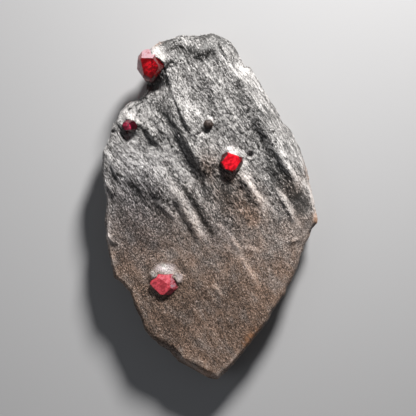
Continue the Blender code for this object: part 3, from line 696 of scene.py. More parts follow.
# ---- the slab ----
def build_matrix(finish):
    slab = add_piece("schist_slab", outline_plate(FRONT_HEIGHT), finish)
    grain = slab.modifiers.new("grain", "REMESH")
    grain.mode = "VOXEL"
    grain.voxel_size = VOXEL * MM
    apply_modifiers(slab)
    shape_slab(slab.data, FRONT_HEIGHT)
    fit_box(slab.data, *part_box("graphite_matrix"))
    whole = sum(len(face.vertices) - 2 for face in slab.data.polygons)
    thin = slab.modifiers.new("thin", "DECIMATE")
    thin.ratio = min(1.0, TRIANGLES / whole)
    apply_modifiers(slab)
    pockets = []
    for name, garnet in GARNETS.items():
        pocket = add_piece(name + "_pocket", crystal_mesh(name + "_pocket", garnet, POCKET_GAP),
                           finish)
        cut = slab.modifiers.new("cut_" + name, "BOOLEAN")
        cut.operation = "DIFFERENCE"
        cut.solver = "MANIFOLD"
        cut.object = pocket
        pockets.append(pocket)
    apply_modifiers(slab)
    for pocket in pockets:
        bpy.data.objects.remove(pocket)
    keep_largest_piece(slab.data)
    give_finish(slab.data, finish)
    slab.data.shade_smooth()
    slab.data.set_sharp_from_angle(angle=SLAB_CREASE)
    paint_slab(slab.data)
    return slab


def round_patch(x, y, centre, radii, direction, firmness):
    """1 over the middle of an oval, falling off outside it; the firmer, the sharper its edge."""
    u, v = turned(x - centre[0], y - centre[1], math.radians(direction))
    return np.exp(-((u / radii[0]) ** 2 + (v / radii[1]) ** 2) ** firmness)


# Where the schist is pale, browner, bluer or rusty: centre, radii, direction in degrees, strength.
# The pale caps lie on the lamp-facing upper sides of the collars round the garnets: partly pale
# feldspar, partly painted highlight.
PALE_CAPS = [
    ((-16.4, 45.9), (3.6, 1.6), -25, 0.33), ((-14.0, 43.8), (1.3, 1.7), 0, 0.29),
    ((-21.9, 25.7), (1.9, 0.7), -45, 0.6), ((-24.6, 27.0), (2.2, 0.8), 0, 0.3),
    ((7.0, 16.9), (2.0, 1.0), -25, 0.44), ((4.6, 16.8), (1.3, 0.7), 20, 0.15),
    ((-13.1, -18.9), (2.9, 1.5), -4, 1.0), ((-9.3, -21.2), (1.0, 1.8), 15, 0.65),
    ((-16.9, -20.4), (0.9, 1.3), 0, 0.5), ((0.8, 25.9), (0.8, 0.7), 0, 0.45),
    ((-17.6, 47.8), (1.7, 0.8), 30, 0.35),
]
WARM_PATCHES = [
    ((11.0, -2.0), (12.0, 7.0), -50, 0.9), ((5.7, 8.2), (3.2, 2.6), 0, 0.8),
    ((0.0, 10.6), (4.0, 5.4), 10, 0.6), ((0.0, -34.0), (18.0, 16.0), 0, 0.35),
    ((-13.5, -27.0), (8.0, 6.0), 0, 0.3), ((24.5, 5.0), (5.0, 5.0), 0, 0.4),
]
LILAC_PATCHES = [((-22.0, -1.0), (9.0, 13.0), 10, 0.8), ((3.0, -8.0), (5.0, 7.0), 30, 0.3)]
RUST_PATCHES = [
    ((12.0, -40.0), (3.6, 1.5), 55, 0.9), ((32.2, -4.0), (1.2, 2.2), 0, 0.8),
    ((-16.0, 49.2), (1.6, 0.9), 40, 0.8), ((29.5, 9.0), (0.8, 4.0), 15, 0.3),
]
# Paler (+) and darker (-) areas of the front: centre, radii, direction in degrees, strength.
# Besides the schist's own paler and darker patches, these hold painted shade in dents and hollows
# and on slopes that face away from the lamp, painted highlight on slopes that face it, and a front
# that is darker towards the bottom.
PAINTED_LIGHT_AND_TONE_AREAS = {
    "head_left": ((-12.6, 46.8), (2.2, 2.4), 0, -0.8),
    "head_middle": ((-7.2, 46.5), (2.8, 2.6), 0, -0.9),
    # painted shade in the dent at the head
    "head_dent": ((-0.3, 46.9), (3.1, 2.6), 10, -1.3),
    "second_lobe": ((8.4, 38.4), (3.6, 1.7), -15, -0.5),
    "drape_speckle": ((9.3, 31.0), (1.5, 3.0), 25, -0.5),
    "above_knob": ((0.2, 30.3), (1.4, 2.6), 25, -0.4),
    "right_upper": ((14.6, 21.4), (1.6, 4.4), 15, -0.55),
    "right_middle": ((17.6, 15.4), (2.0, 4.0), 20, -0.3),
    "by_spur": ((17.4, 10.5), (1.6, 3.0), 20, -0.4),
    "left_shade": ((-22.6, 3.0), (8.0, 6.5), -20, -0.55),
    "left_low": ((-23.0, -9.0), (8.5, 9.0), 0, -0.5),
    "left_of_crest": ((-13.4, -3.6), (2.6, 5.4), 25, -0.4),
    # painted shade in the basin hollow below the middle garnet
    "basin": ((5.2, 3.4), (4.5, 5.4), 10, -1.0),
    "middle_low": ((6.5, -4.0), (5.0, 5.0), 0, -0.4),
    "lower_half": ((-1.0, -33.0), (26.0, 22.0), 0, -0.38),
    "low_left": ((-18.0, -32.0), (10.0, 10.0), 0, -0.15),
    "brown_valley": ((0.0, 10.6), (3.2, 4.6), 10, -0.6),
    "left_bright": ((-22.5, 16.0), (7.5, 4.6), -20, 0.8),
    "tip": ((0.0, -44.0), (8.0, 7.0), 0, 0.25),
    "right_pale": ((10.8, 38.4), (3.0, 7.0), 30, 0.3),
    "left_top": ((-25.8, 27.6), (3.4, 3.0), 30, 0.5),
    "under_head": ((4.8, 28.0), (5.0, 9.0), 30, 0.5),
    "right_edge": ((17.4, 27.0), (9.0, 2.6), -57, -0.7),
    "shoulder": ((-19.0, 27.5), (3.0, 3.0), 30, 0.5),
    "by_notch": ((23.4, -10.4), (2.6, 1.5), 0, 0.6),
    "far_right": ((26.0, 12.5), (3.0, 5.0), 28, 0.4),
}
# The same along lines: points, half width, strength. Besides streaks of the schist's own tone,
# these hold painted shade along fold valleys and flanks that face away from the lamp, painted
# shadow under the top garnet, and painted highlight along ridges and rims that face it.
PAINTED_LIGHT_AND_TONE_LINES = {
    "drape": ([(-10.8, 43.2), (-9.0, 36.3), (-7.2, 30.3), (-5.1, 24.3), (-2.7, 17.8)], 2.6, 0.35),
    "drape_inner": ([(-6.0, 40.5), (-3.3, 32.4)], 2.0, 0.3),
    "head_rim": ([(-13.8, 49.2), (-9.6, 50.6), (-4.2, 50.8), (0.3, 51.6), (4.8, 50.1), (7.6, 46.8)],
                 1.4, -0.75),
    "upper_side": ([(8.4, 45.6), (10.2, 42.3), (14.4, 37.2), (18.0, 30.0), (21.3, 25.5),
                    (24.9, 19.5), (28.0, 11.4)], 1.6, 0.1),
    "lobe": ([(3.9, 42.6), (8.7, 41.4), (12.3, 38.4)], 1.6, 0.1),
    "rim_inner": ([(13.5, 33.6), (15.9, 28.2), (18.9, 23.7), (21.9, 20.4)], 1.6, 0.2),
    "far_line": ([(19.5, 19.8), (21.6, 13.8), (24.9, 8.4), (28.2, 6.6)], 1.3, 0.9),
    "right_line": ([(20.4, 4.8), (22.8, 1.2), (24.3, -2.7), (26.1, -5.7)], 0.9, 0.8),
    "outer_rim": ([(29.7, 7.8), (31.0, 1.5), (31.6, -3.0)], 0.6, 0.8),
    # painted highlight along the spur ridge, which faces the lamp
    "spur": ([(9.6, 14.1), (10.8, 9.6), (12.6, 5.4), (14.7, 2.1), (16.5, 0.6)], 1.3, 1.4),
    # crest, crest_end and crest_tail: painted highlight along the crest ridge, which faces the lamp
    "crest": ([(-9.9, 4.2), (-7.1, 0.7), (-5.2, -3.2)], 1.3, 1.0),
    "crest_end": ([(-5.0, -3.6), (-3.4, -6.6), (-2.2, -8.4)], 1.0, 0.8),
    "crest_tail": ([(-3.6, -6.4), (-1.8, -9.0), (-0.4, -10.6)], 0.8, 0.35),
    "above_crest": ([(-18.3, 20.4), (-15.3, 14.4), (-13.2, 8.7), (-10.2, 4.5)], 1.7, 0.8),
    "beside_lower": ([(-13.2, 17.7), (-9.9, 11.4), (-6.3, 6.6)], 1.2, 0.8),
    "left_crease": ([(-15.6, 1.2), (-12.3, -1.8), (-9.3, -4.8)], 0.6, 0.6),
    "left_lower": ([(-31.0, -8.7), (-29.1, -10.8), (-27.0, -11.4)], 0.7, 0.9),
    "left_edge": ([(-31.2, 18.9), (-30.6, 14.7), (-30.0, 12.0)], 1.0, 0.6),
    "mid_line": ([(3.0, -5.7), (5.4, -7.8), (7.8, -11.1), (9.3, -15.0)], 0.6, 0.7),
    "low_line": ([(9.3, -15.0), (11.1, -18.3), (12.9, -21.6), (14.4, -23.7)], 0.7, 0.7),
    "cross_line": ([(4.5, -12.3), (8.1, -12.9), (12.0, -12.6), (15.6, -13.8)], 0.6, 0.5),
    "long_line": ([(2.3, -5.7), (5.0, -9.9), (7.5, -14.0), (11.2, -19.6), (15.0, -25.2)],
                  0.5, 0.5),
    "fleck": ([(1.2, -23.7), (3.6, -27.0)], 0.6, 0.9),
    "tip_rim": ([(-3.0, -46.2), (1.5, -50.7), (5.4, -47.7), (8.4, -43.8)], 0.6, 0.7),
    "tip_edge": ([(-9.0, -45.4), (-4.8, -48.4), (-0.9, -50.8), (2.6, -51.4)], 0.6, 0.9),
    "left_rim": ([(-31.4, 11.0), (-30.9, 4.5), (-30.2, -1.5), (-30.4, -10.0), (-28.8, -17.0)],
                 0.7, 0.6),
    # painted shade along the main fold's valley, whose flank faces away from the lamp
    "main_valley": ([(-17.4, 34.2), (-14.1, 27.3), (-11.4, 22.8), (-9.0, 19.2), (-6.0, 15.3),
                     (-4.5, 10.8), (-2.7, 6.6), (0.6, 1.8)], 1.3, -0.5),
    "main_streak": ([(-10.5, 30.0), (-6.9, 23.4)], 0.7, -0.4),
    "upper_line": ([(-13.8, 40.2), (-12.0, 32.7)], 0.5, -0.5),
    "lower_thin": ([(-13.5, 12.9), (-11.1, 9.3), (-8.1, 5.4), (-5.4, 1.8)], 0.6, -0.9),
    "lower_wide": ([(-4.5, 0.9), (-1.5, -4.8), (0.9, -8.1)], 1.0, -0.9),
    "small_streak": ([(-20.7, 24.0), (-18.6, 20.7), (-16.5, 18.3)], 0.9, -0.9),
    "right_low": ([(20.4, 9.0), (24.6, 4.8), (27.9, -1.0)], 2.4, -1.3),
    # painted shadow under the top garnet
    "under_top": ([(-20.4, 35.4), (-17.1, 36.3), (-15.3, 38.4)], 1.6, -1.2),
}


def patches(x, y, table, firmness=1.0, ragged=0.0):
    x = x + ragged * lattice_noise(x, y, 1.1, 51)
    y = y + ragged * lattice_noise(x, y, 1.1, 52)
    shade = np.zeros(x.shape)
    for centre, radii, direction, strength in table:
        patch = round_patch(x, y, centre, radii, direction, firmness)
        shade = np.maximum(shade, strength * patch)
    return shade


def painted_light_and_tone(x, y):
    """How much paler (+) or darker (-) the front is than usual: partly its own tone, partly painted
    shade, shadow and highlight.
    """
    shade = sum(swell(x, y, *area) for area in PAINTED_LIGHT_AND_TONE_AREAS.values())
    for points, half_width, strength in PAINTED_LIGHT_AND_TONE_LINES.values():
        shade = shade + strength * np.exp(-(polyline(x, y, points)[0] / half_width) ** 2)
    return np.clip(shade, -1.2, 0.9)


def paint(mesh, x, y, relief, facing=1.0):
    """Masks that the schist mixes its colours by, at every vertex."""
    along, across = flow_lines(x, y)
    masks = {
        "relief": relief,
        "pale": patches(x, y, PALE_CAPS, 2.0, 0.5) * facing,
        "warm": np.maximum(smooth((16.0 - y) / 48.0), patches(x, y, WARM_PATCHES)),
        "lilac": patches(x, y, LILAC_PATCHES),
        "rust": patches(x, y, RUST_PATCHES),
        "painted_light_and_tone": painted_light_and_tone(x, y) * facing,
        "calm": 1.0 - liveliness(y),
        "along": along,
        "across": across,
    }
    for name, values in masks.items():
        point_attribute(mesh, name, values)


def paint_slab(mesh):
    """The slab's masks, with those for its broken sides and for the walls of its pockets."""
    points = positions(mesh)
    x, y, z = points.T
    inside = inside_distance(x, y)
    facing = np.empty(len(points) * 3)
    mesh.vertices.foreach_get("normal", facing)
    upward = facing.reshape(-1, 3)[:, 2]
    front = smooth((upward + 0.1) / 0.5)
    grain = fine_relief(x, y)
    pocket = np.zeros(len(points))
    for garnet in GARNETS.values():
        reach = np.full(len(points), -1e9)
        for normal, distance in crystal_planes(garnet):
            reach = np.maximum(reach, (points - garnet["middle"]) @ np.array(normal) - distance)
        pocket = np.maximum(pocket, fade((np.abs(reach - POCKET_GAP) - 0.01) / 0.02))
    depth = front_height(x, y, np.maximum(inside, 0.0)) + grain - z
    pocket = pocket * smooth((depth - 0.2) / 0.4)
    # the relief mask, darker in the fine relief's low spots and paler on its high ones, is painted
    # shade and highlight
    paint(mesh, x, y, np.clip(grain / 0.25, -1.0, 1.0) * front, front)
    point_attribute(mesh, "side", (1.0 - front) * fade((inside - 2.0) / 4.0))
    point_attribute(mesh, "pocket", pocket)


# ---- flakes and fibres ----
def closed_bits(name, corners, faces):
    """One mesh of many copies of a small closed shape, whose corners differ from copy to copy."""
    count = len(corners)
    sizes = np.tile([len(face) for face in faces], count)
    pattern = np.array([corner for face in faces for corner in face])
    loops = (np.arange(count)[:, None] * corners.shape[1] + pattern).ravel()
    mesh = bpy.data.meshes.new(name)
    mesh.vertices.add(count * corners.shape[1])
    mesh.loops.add(len(loops))
    mesh.polygons.add(len(sizes))
    mesh.vertices.foreach_set("co", (corners.reshape(-1, 3) * MM).ravel())
    mesh.loops.foreach_set("vertex_index", loops.astype(np.int32))
    mesh.polygons.foreach_set("loop_start", (np.cumsum(sizes) - sizes).astype(np.int32))
    mesh.update(calc_edges=True)
    mesh.validate()
    return mesh


def front_spots(draw, count, rim, clear):
    """Places spread over the front, clear of its rim and of the garnets, and the slopes there."""
    x = draw.uniform(-WIDTH / 2, WIDTH / 2, count * 2)
    y = draw.uniform(-LENGTH / 2, LENGTH / 2, count * 2)
    kept = inside_distance(x, y) > rim
    for garnet in GARNETS.values():
        offset = np.stack((x - garnet["middle"][0], y - garnet["middle"][1]))
        reach = np.full(x.shape, -1e9)
        for normal, distance in crystal_planes(garnet):
            across = math.hypot(normal.x, normal.y)
            if across > 0.99:
                reach = np.maximum(reach, offset[0] * normal.x + offset[1] * normal.y - distance)
        kept &= reach > clear
    x, y = x[kept][:count], y[kept][:count]

    def surface(px, py):
        return front_height(px, py, np.maximum(inside_distance(px, py), 0.0)) - pits(px, py)

    slopes = (rise / (2 * SLOPE_STEP) for rise in rises(surface, x, y, SLOPE_STEP))
    return x, y, surface(x, y) + fine_relief(x, y), *slopes


def add_bits(name, corners, faces, tone, finish):
    """The piece made of all the bits, each with a tone of its own."""
    mesh = closed_bits(name, corners, faces)
    point_attribute(mesh, "tone", np.repeat(tone, corners.shape[1]))
    x, y, _ = positions(mesh).T
    # the bits stand proud, so they take a fixed share of the relief mask's painted highlight
    paint(mesh, x, y, np.full(x.shape, 0.3))
    return add_piece(name, mesh, finish)


def laid(spots, turn, along, across, lift):
    """Corners given along and across each bit's own direction, laid on the front's slope."""
    x, y, z, slope_x, slope_y = (value[:, None] for value in spots)
    flat_x = along * np.cos(turn)[:, None] - across * np.sin(turn)[:, None]
    flat_y = along * np.sin(turn)[:, None] + across * np.cos(turn)[:, None]
    return np.stack((x + flat_x, y + flat_y, z + lift + flat_x * slope_x + flat_y * slope_y), 2)


def build_fibres(name, count, seed, finish):
    """Slivers of graphite and mica along the grain, each a low roof on a sunken base."""
    draw = np.random.default_rng(seed)
    spots = front_spots(draw, count, 0.5, 0.25)
    count = len(spots[0])
    lively = liveliness(spots[1])
    turn = flow_direction(spots[0], spots[1])
    turn = turn + draw.normal(0.0, 1.0, count) * (0.9 - 0.77 * lively)
    length = (0.45 + 0.9 * lively) * draw.uniform(0.4, 1.2, count)
    width = (0.8 + 0.1 * lively) * draw.uniform(0.16, 0.28, count)
    height = (0.7 + 0.3 * lively) * draw.uniform(0.03, 0.09, count)
    tip = draw.uniform(0.35, 0.75, (count, 2)) * np.array([-0.5, 0.5])
    rough = draw.uniform(0.7, 1.2, (count, 4))
    along = np.hstack((0.5 * rough * np.array([-1, 1, 1, -1]), tip)) * length[:, None]
    side = draw.uniform(-0.2, 0.2, (count, 2))
    across = np.hstack((0.5 * rough[:, ::-1] * np.array([-1, -1, 1, 1]), side)) * width[:, None]
    lift = np.hstack((np.full((count, 4), -0.07), np.tile(height[:, None], (1, 2))))
    corners = laid(spots, turn, along, across, lift)
    faces = [(3, 2, 1, 0), (0, 1, 5, 4), (2, 3, 4, 5), (1, 2, 5), (3, 0, 4)]
    tone = 0.5 + (0.7 + 0.3 * lively) * draw.uniform(-0.5, 0.5, count)
    return add_bits(name, corners, faces, tone, finish)


def build_flakes(name, count, seed, finish):
    """Flat six-sided flakes lying on the front with their edges standing clear."""
    draw = np.random.default_rng(seed)
    x, y, z, slope_x, slope_y = front_spots(draw, count, 0.9, 0.45)
    count = len(x)
    lean_x, lean_y = draw.normal(0.0, 0.16, (2, count))
    spots = x, y, z, slope_x + lean_x, slope_y + lean_y
    turn = flow_direction(x, y) + draw.normal(0.0, 0.4, count)
    length = (0.7 + 0.3 * liveliness(y)) * draw.uniform(0.5, 1.1, count)
    width = length * draw.uniform(0.3, 0.6, count)
    around = np.linspace(0.0, 2 * math.pi, 6, endpoint=False)
    ragged = 0.5 * draw.uniform(0.75, 1.15, (count, 6))
    along = length[:, None] * ragged * np.cos(around)
    across = width[:, None] * ragged * np.sin(around)
    shrink = np.repeat([0.88, 1.0, 0.9], 6)
    lift = np.tile(np.repeat([0.055, 0.02, -0.09], 6), (count, 1))
    corners = laid(spots, turn, np.tile(along, 3) * shrink, np.tile(across, 3) * shrink, lift)
    faces = [tuple(range(6)), tuple(range(17, 11, -1))]
    for level in (0, 6):
        for i in range(6):
            j = (i + 1) % 6
            faces.append((level + j, level + i, level + 6 + i, level + 6 + j))
    tone = 0.5 + (0.4 + 0.6 * liveliness(y)) * draw.uniform(-0.5, 0.3, count)
    return add_bits(name, corners, faces, tone, finish)


# ---- materials ----
class Output:
    """A node's output, which can be added, subtracted and multiplied like a number."""

    def __init__(self, node, output):
        self.node, self.socket = node, node.outputs[output]

    def maths(self, operation, first, second):
        return put(self.node.id_data, "ShaderNodeMath", 0, {0: first, 1: second},
                   operation=operation)

    def __add__(self, other):
        return self.maths("ADD", self, other)

    def __sub__(self, other):
        return self.maths("SUBTRACT", self, other)

    def __rsub__(self, other):
        return self.maths("SUBTRACT", other, self)

    def __mul__(self, other):
        return self.maths("MULTIPLY", self, other)

    def clamped(self):
        """The same maths, with its result kept within 0 and 1."""
        self.node.use_clamp = True
        return self

    def spread(self, low, high, to_low=0.0, to_high=1.0):
        """Runs from to_low to to_high where this runs from low to high."""
        return put(self.node.id_data, "ShaderNodeMapRange", "Result", {
            "Value": self, "From Min": low, "From Max": high, "To Min": to_low, "To Max": to_high})


def feed(tree, node, inputs):
    """Give a node its inputs, each a plain value or another node's output."""
    for socket, value in inputs.items():
        if isinstance(value, Output):
            tree.links.new(value.socket, node.inputs[socket])
        else:
            node.inputs[socket].default_value = value


def put(tree, kind, output, inputs=None, **settings):
    """A new node's output."""
    node = tree.nodes.new(kind)
    for key, value in settings.items():
        setattr(node, key, value)
    feed(tree, node, inputs or {})
    return Output(node, output)


def new_material(name):
    finish = bpy.data.materials.new(name)
    finish.use_nodes = True
    tree = finish.node_tree
    return finish, tree, tree.nodes["Principled BSDF"]


def mask(tree, name):
    return put(tree, "ShaderNodeAttribute", "Fac", attribute_name=name)


def mixed(tree, share, low, high, blend="MIX"):
    """Colour low shifted towards high by share."""
    return put(tree, "ShaderNodeMix", 2, {0: share, 6: low, 7: high}, data_type="RGBA",
               blend_type=blend)


def noise(tree, coordinates, detail=3.0, roughness=0.55):
    return put(tree, "ShaderNodeTexNoise", "Fac", {"Vector": coordinates, "Scale": 1.0,
                                                   "Detail": detail, "Roughness": roughness})


def bumped(tree, height, strength, distance):
    """The normal of a surface with bumps, which are distance mm high at full strength."""
    return put(tree, "ShaderNodeBump", "Normal", {"Height": height, "Strength": strength,
                                                  "Distance": distance * MM})


def place(tree):
    return put(tree, "ShaderNodeTexCoord", "Object")


def mapped(tree, **inputs):
    """Object coordinates counted from a location, in units of the given scale."""
    return put(tree, "ShaderNodeMapping", "Vector", {"Vector": place(tree), **inputs},
               vector_type="TEXTURE")


def stretched(tree, along, across, depth, angle=FLOW):
    """Object coordinates in grains of the given size in mm, lying along an angle in plan."""
    return mapped(tree, Rotation=(0.0, 0.0, angle), Scale=(along * MM, across * MM, depth * MM))


def grained(tree, along, across, depth):
    """Coordinates in grains of the given size in mm, lying along the schist's bent grain."""
    height = put(tree, "ShaderNodeSeparateXYZ", "Z", {"Vector": place(tree)})
    return put(tree, "ShaderNodeCombineXYZ", "Vector", {
        "X": mask(tree, "along") * (1.0 / along), "Y": mask(tree, "across") * (1.0 / across),
        "Z": height * (1.0 / (depth * MM))})


SILVER = (0.62, 0.600, 0.592, 1.0)
PALE_GREY = (0.30, 0.290, 0.284, 1.0)
GREY = (0.136, 0.130, 0.128, 1.0)
GRAPHITE = (0.030, 0.029, 0.028, 1.0)
WHITE_SPAR_AND_HIGHLIGHT = (0.74, 0.72, 0.69, 1.0)
PINK_SPAR_AND_HIGHLIGHT = (0.70, 0.61, 0.62, 1.0)
RUST = (0.42, 0.19, 0.08, 1.0)
BEIGE = (0.50, 0.42, 0.33, 1.0)
BROWNER = (1.16, 0.80, 0.60, 1.0)
BLUER = (0.94, 0.95, 1.02, 1.0)
POCKET = (0.75, 0.62, 0.58, 1.0)


def schist_material(name, flaky=False):
    """Grey schist, or the loose bits on it, which each have a tone of their own and no sides."""
    finish, tree, shader = new_material(name)
    streaks = noise(tree, grained(tree, 4.0, 0.6, 0.6), 3.0, 0.6)
    grains = noise(tree, grained(tree, 0.6, 0.3, 0.3), 2.0, 0.55)
    blotches = noise(tree, grained(tree, 9.0, 3.0, 3.0), 2.0)
    calm = mask(tree, "calm")
    sugary = noise(tree, stretched(tree, 0.34, 0.28, 0.28), 2.0, 0.6)
    sugary_share = calm * 0.85
    texture = streaks * (1.0 - sugary_share) + sugary * sugary_share
    detail = (texture + grains - 1.0) * calm.spread(0.0, 1.0, 0.76, 0.56)
    # the relief mask paints the fine relief's low spots darker and its high spots paler: painted
    # shade and painted highlight
    shade = detail + blotches.spread(0.0, 1.0, 0.48, 0.68) + mask(tree, "relief") * 0.05
    if flaky:
        shade = shade + mask(tree, "tone").spread(0.0, 1.0, -0.29, 0.29)
    # the front's own paler and darker areas together with its painted shade, shadow and highlight
    shade = shade + mask(tree, "painted_light_and_tone") * 0.16
    color = put(tree, "ShaderNodeValToRGB", "Color", {"Fac": shade})
    stops = color.node.color_ramp.elements
    stops[0].position, stops[0].color = 0.44, GRAPHITE
    stops[1].position, stops[1].color = 0.82, SILVER
    for position, grey in ((0.54, GREY), (0.64, PALE_GREY)):
        stops.new(position).color = grey
    drift = noise(tree, grained(tree, 5.0, 3.2, 3.2), 3.0).spread(0.35, 0.65, 0.65, 1.25)
    warm = mask(tree, "warm") * (drift * shade.spread(0.5, 0.8, 1.1, 0.6))
    color = mixed(tree, warm, color, mixed(tree, 1.0, color, BROWNER, "MULTIPLY"))
    color = mixed(tree, mask(tree, "lilac"), color, mixed(tree, 1.0, color, BLUER, "MULTIPLY"))
    speckle = (grains + sugary).spread(0.74, 0.95)
    if flaky:
        speckle = speckle * mask(tree, "tone").spread(0.15, 0.3)
    # the pale caps, partly feldspar colour and partly painted highlight, speckled
    spar_and_highlight = mixed(tree, blotches.spread(0.4, 0.6), WHITE_SPAR_AND_HIGHLIGHT, PINK_SPAR_AND_HIGHLIGHT)
    color = mixed(tree, mask(tree, "pale") * speckle, color, spar_and_highlight)
    color = mixed(tree, mask(tree, "rust") * streaks.spread(0.35, 0.6), color, RUST)
    if not flaky:
        lines = noise(tree, stretched(tree, 6.0, 6.0, 0.30), 3.0)
        edge_color = mixed(tree, lines.spread(0.38, 0.62), GRAPHITE, BEIGE)
        color = mixed(tree, mask(tree, "side") * 0.7, color, edge_color)
        color = mixed(tree, mask(tree, "pocket"), color, POCKET)
    feed(tree, shader, {
        "Base Color": color, "Roughness": streaks.spread(0.3, 0.7, 0.42, 0.66), "Metallic": 0.05,
        "Specular IOR Level": 0.45,
        "Normal": bumped(tree, streaks * 0.6 + grains * 0.5, 0.8, 0.18)})
    return finish


GARNET_IOR = 1.77
ABSORBED_GREEN, ABSORBED_BLUE = 0.02, 0.03      # how green and blue light fare in every garnet
DEEP_RED = (0.42, 0.002, 0.008, 1.0)
DEEP_CRIMSON = (0.24, 0.002, 0.028, 1.0)
DEEP_ROSE = (0.80, 0.022, 0.050, 1.0)
BRIGHT_RED = (1.0, 0.012, 0.030, 1.0)
CRIMSON = (0.90, 0.018, 0.115, 1.0)
SALMON = (1.0, 0.055, 0.095, 1.0)
FROSTY_PINK = (0.80, 0.46, 0.50, 1.0)
LILAC_GREY = (0.27, 0.20, 0.235, 1.0)

# For each clear garnet: the colour of its depths and of its glowing core, which is painted light,
# the core's place and radius, how red light fares inside and how strongly the crystal absorbs, how
# much of the painted glowing colour scatters, its haze, and how bright its glowing colour stays in
# its dimmest flecks.
GARNET_BODIES = {
    "garnet_top": (DEEP_RED, BRIGHT_RED, (-17.3, 41.4, 15.2), 2.6, 0.75, 300.0, 0.75, 0.0, 0.3),
    "garnet_small": (DEEP_CRIMSON, CRIMSON, (-24.9, 23.9, 13.0), 1.7, 0.45, 900.0, 0.9, 0.02, 0.5),
    "garnet_middle": (DEEP_RED, BRIGHT_RED, (5.9, 13.4, 13.3), 3.6, 0.75, 300.0, 0.8, 0.0, 0.6),
    "garnet_bottom": (DEEP_ROSE, SALMON, (-14.6, -23.4, 12.2), 3.8, 0.92, 160.0, 0.85, 0.04, 0.5),
}


def garnet_material(name, deep, bright, core_place, core_radius, redness, density, body, haze,
                    dimmest):
    """Red garnet that is clear but for its painted glowing core, a diffuse bright red standing in
    for light coming back out of the crystal, and what frosts or coats its facets; the frosting on
    facets that face the lamp is partly painted reflection.
    """
    finish, tree, shader = new_material(name)
    mottling = noise(tree, stretched(tree, 1.3, 0.9, 1.1, 0.6), 3.0, 0.6)
    fine = noise(tree, stretched(tree, 0.3, 0.3, 0.3, 0.0), 2.0)
    # painted light: a bright diffuse red core at a set spot, though the garnet is no lamp
    ball = mapped(tree, Location=Vector(core_place) * MM, Scale=(core_radius * MM,) * 3)
    core = put(tree, "ShaderNodeTexGradient", "Fac", {"Vector": ball}, gradient_type="SPHERICAL")
    flecks = mottling.spread(0.42, 0.60, dimmest, 1.0)
    painted_glow = (mask(tree, "painted_glow") * (core.spread(0.0, 0.6) + 0.7)).clamped() * flecks
    # the frosted share, partly painted reflection on facets that face the lamp
    frost_and_reflection = (mask(tree, "frost_and_reflection") + haze) * fine.spread(0.3, 0.6, 0.6, 1.0)
    crust = mottling * 0.6 + fine * 0.4
    coat = mask(tree, "coat") * crust.spread(0.38, 0.60)
    color = mixed(tree, painted_glow, deep, bright)
    color = mixed(tree, frost_and_reflection, color, FROSTY_PINK)
    color = mixed(tree, coat, color, LILAC_GREY)
    lost = coat * 0.9 + (painted_glow * body + frost_and_reflection * 0.45)
    feed(tree, shader, {
        "Base Color": color, "Transmission Weight": (1.0 - lost).clamped(),
        "Roughness": frost_and_reflection * 0.38 + coat * 0.4 + 0.03, "IOR": GARNET_IOR,
        "Normal": bumped(tree, mottling, 0.35, 0.12)})
    tint = (redness, ABSORBED_GREEN, ABSORBED_BLUE, 1.0)
    absorbed = put(tree, "ShaderNodeVolumeAbsorption", "Volume", {"Color": tint,
                                                                  "Density": density})
    feed(tree, tree.nodes["Material Output"], {"Volume": absorbed})
    return finish


CRUST_DARK = (0.012, 0.008, 0.007, 1.0)
CRUST_LIGHT = (0.060, 0.039, 0.031, 1.0)


def coated_material(name):
    """A garnet wholly hidden under a dark brown crust of graphite and mica."""
    finish, tree, shader = new_material(name)
    crust = noise(tree, stretched(tree, 0.5, 0.5, 0.5, 0.0), 4.0)
    feed(tree, shader, {
        "Base Color": mixed(tree, crust.spread(0.35, 0.65), CRUST_DARK, CRUST_LIGHT),
        "Roughness": crust.spread(0.3, 0.7, 0.35, 0.7), "Normal": bumped(tree, crust, 0.8, 0.15)})
    return finish


# ---- stage ----
# Each lamp: the way to it, its distance and width in metres, its watts, its colour, and its
# spread in degrees.
LAMPS = {
    "key": ((0.30, 0.85, 0.50), 0.42, 0.09, 1.42, (1.0, 0.985, 0.96), 110.0),
    "fill": ((-0.8, -0.1, 0.75), 0.9, 0.6, 0.6, (0.93, 0.96, 1.0), 180.0),
}
FLOOR_GREY = (0.44, 0.44, 0.45, 1.0)
SKY = (0.80, 0.83, 0.88, 1.0)
SKY_STRENGTH = 0.08
FLOOR_LEVEL = -0.02             # just under the slab, so that the two don't touch
CAMERA_PLACE = (-0.6, -0.6, 610.0)
CAMERA_REACH = 600.0            # down to the front's level
CAMERA_VIEW = 124.8             # how much of that level the frame takes in
SENSOR = 36.0


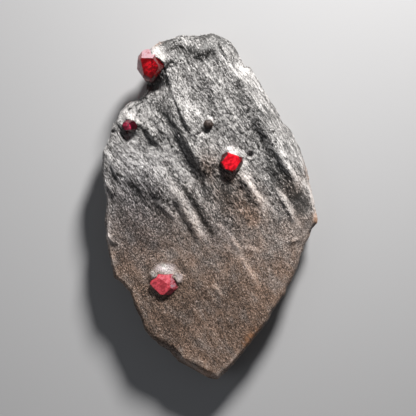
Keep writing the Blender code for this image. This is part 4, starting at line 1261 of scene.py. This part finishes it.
def add_lamp(name, direction, distance, size, power, color, opening):
    lamp = bpy.data.lights.new(name, "AREA")
    lamp.shape = "DISK"
    lamp.size = size
    lamp.energy = power
    lamp.color = color
    lamp.spread = math.radians(opening)
    light = add_object(name, lamp)
    toward = Vector(direction).normalized()
    light.location = toward * distance
    light.rotation_euler = toward.to_track_quat("Z", "Y").to_euler()


def build_stage():
    floor_mesh = bpy.data.meshes.new("floor")
    with editing(floor_mesh) as edit:
        bmesh.ops.create_grid(edit, x_segments=8, y_segments=8, size=2.0)
    finish, tree, shader = new_material("floor")
    feed(tree, shader, {"Base Color": FLOOR_GREY, "Roughness": 0.9})
    floor = add_piece("floor", floor_mesh, finish)
    floor.location.z = FLOOR_LEVEL * MM
    for name, lamp in LAMPS.items():
        add_lamp(name, *lamp)
    world = bpy.data.worlds.new("studio")
    world.use_nodes = True
    feed(world.node_tree, world.node_tree.nodes["Background"],
         {"Color": SKY, "Strength": SKY_STRENGTH})
    bpy.context.scene.world = world
    bpy.context.scene.view_settings.view_transform = "Standard"


def build_camera():
    """Straight over the slab, looking down on its front."""
    lens_data = bpy.data.cameras.new("camera")
    camera = add_object("camera", lens_data)
    lens_data.sensor_width = SENSOR
    lens_data.lens = SENSOR * CAMERA_REACH / CAMERA_VIEW
    camera.location = Vector(CAMERA_PLACE) * MM
    lens_data.clip_start, lens_data.clip_end = 0.01, 10.0
    bpy.context.scene.camera = camera


# ---- everything ----
build_stage()
build_camera()
slab = build_matrix(schist_material("schist"))
flaky = schist_material("schist_flakes", flaky=True)
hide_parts("graphite_matrix")
for piece in (slab, build_flakes("graphite_flakes", FLAKES, 7, flaky),
              build_fibres("graphite_fibres", FIBRES, 8, flaky),
              build_fibres("mica_fibres", FIBRES, 9, flaky),
              build_fibres("fine_fibres", FIBRES, 10, flaky)):
    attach(piece, "root")

for name, garnet in GARNETS.items():
    if name in GARNET_BODIES:
        finish = garnet_material(name + "_red", *GARNET_BODIES[name])
    else:
        finish = coated_material(name + "_crust")
    crystal = build_garnet(name, garnet, finish)
    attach(crystal, "root")
    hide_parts(name)
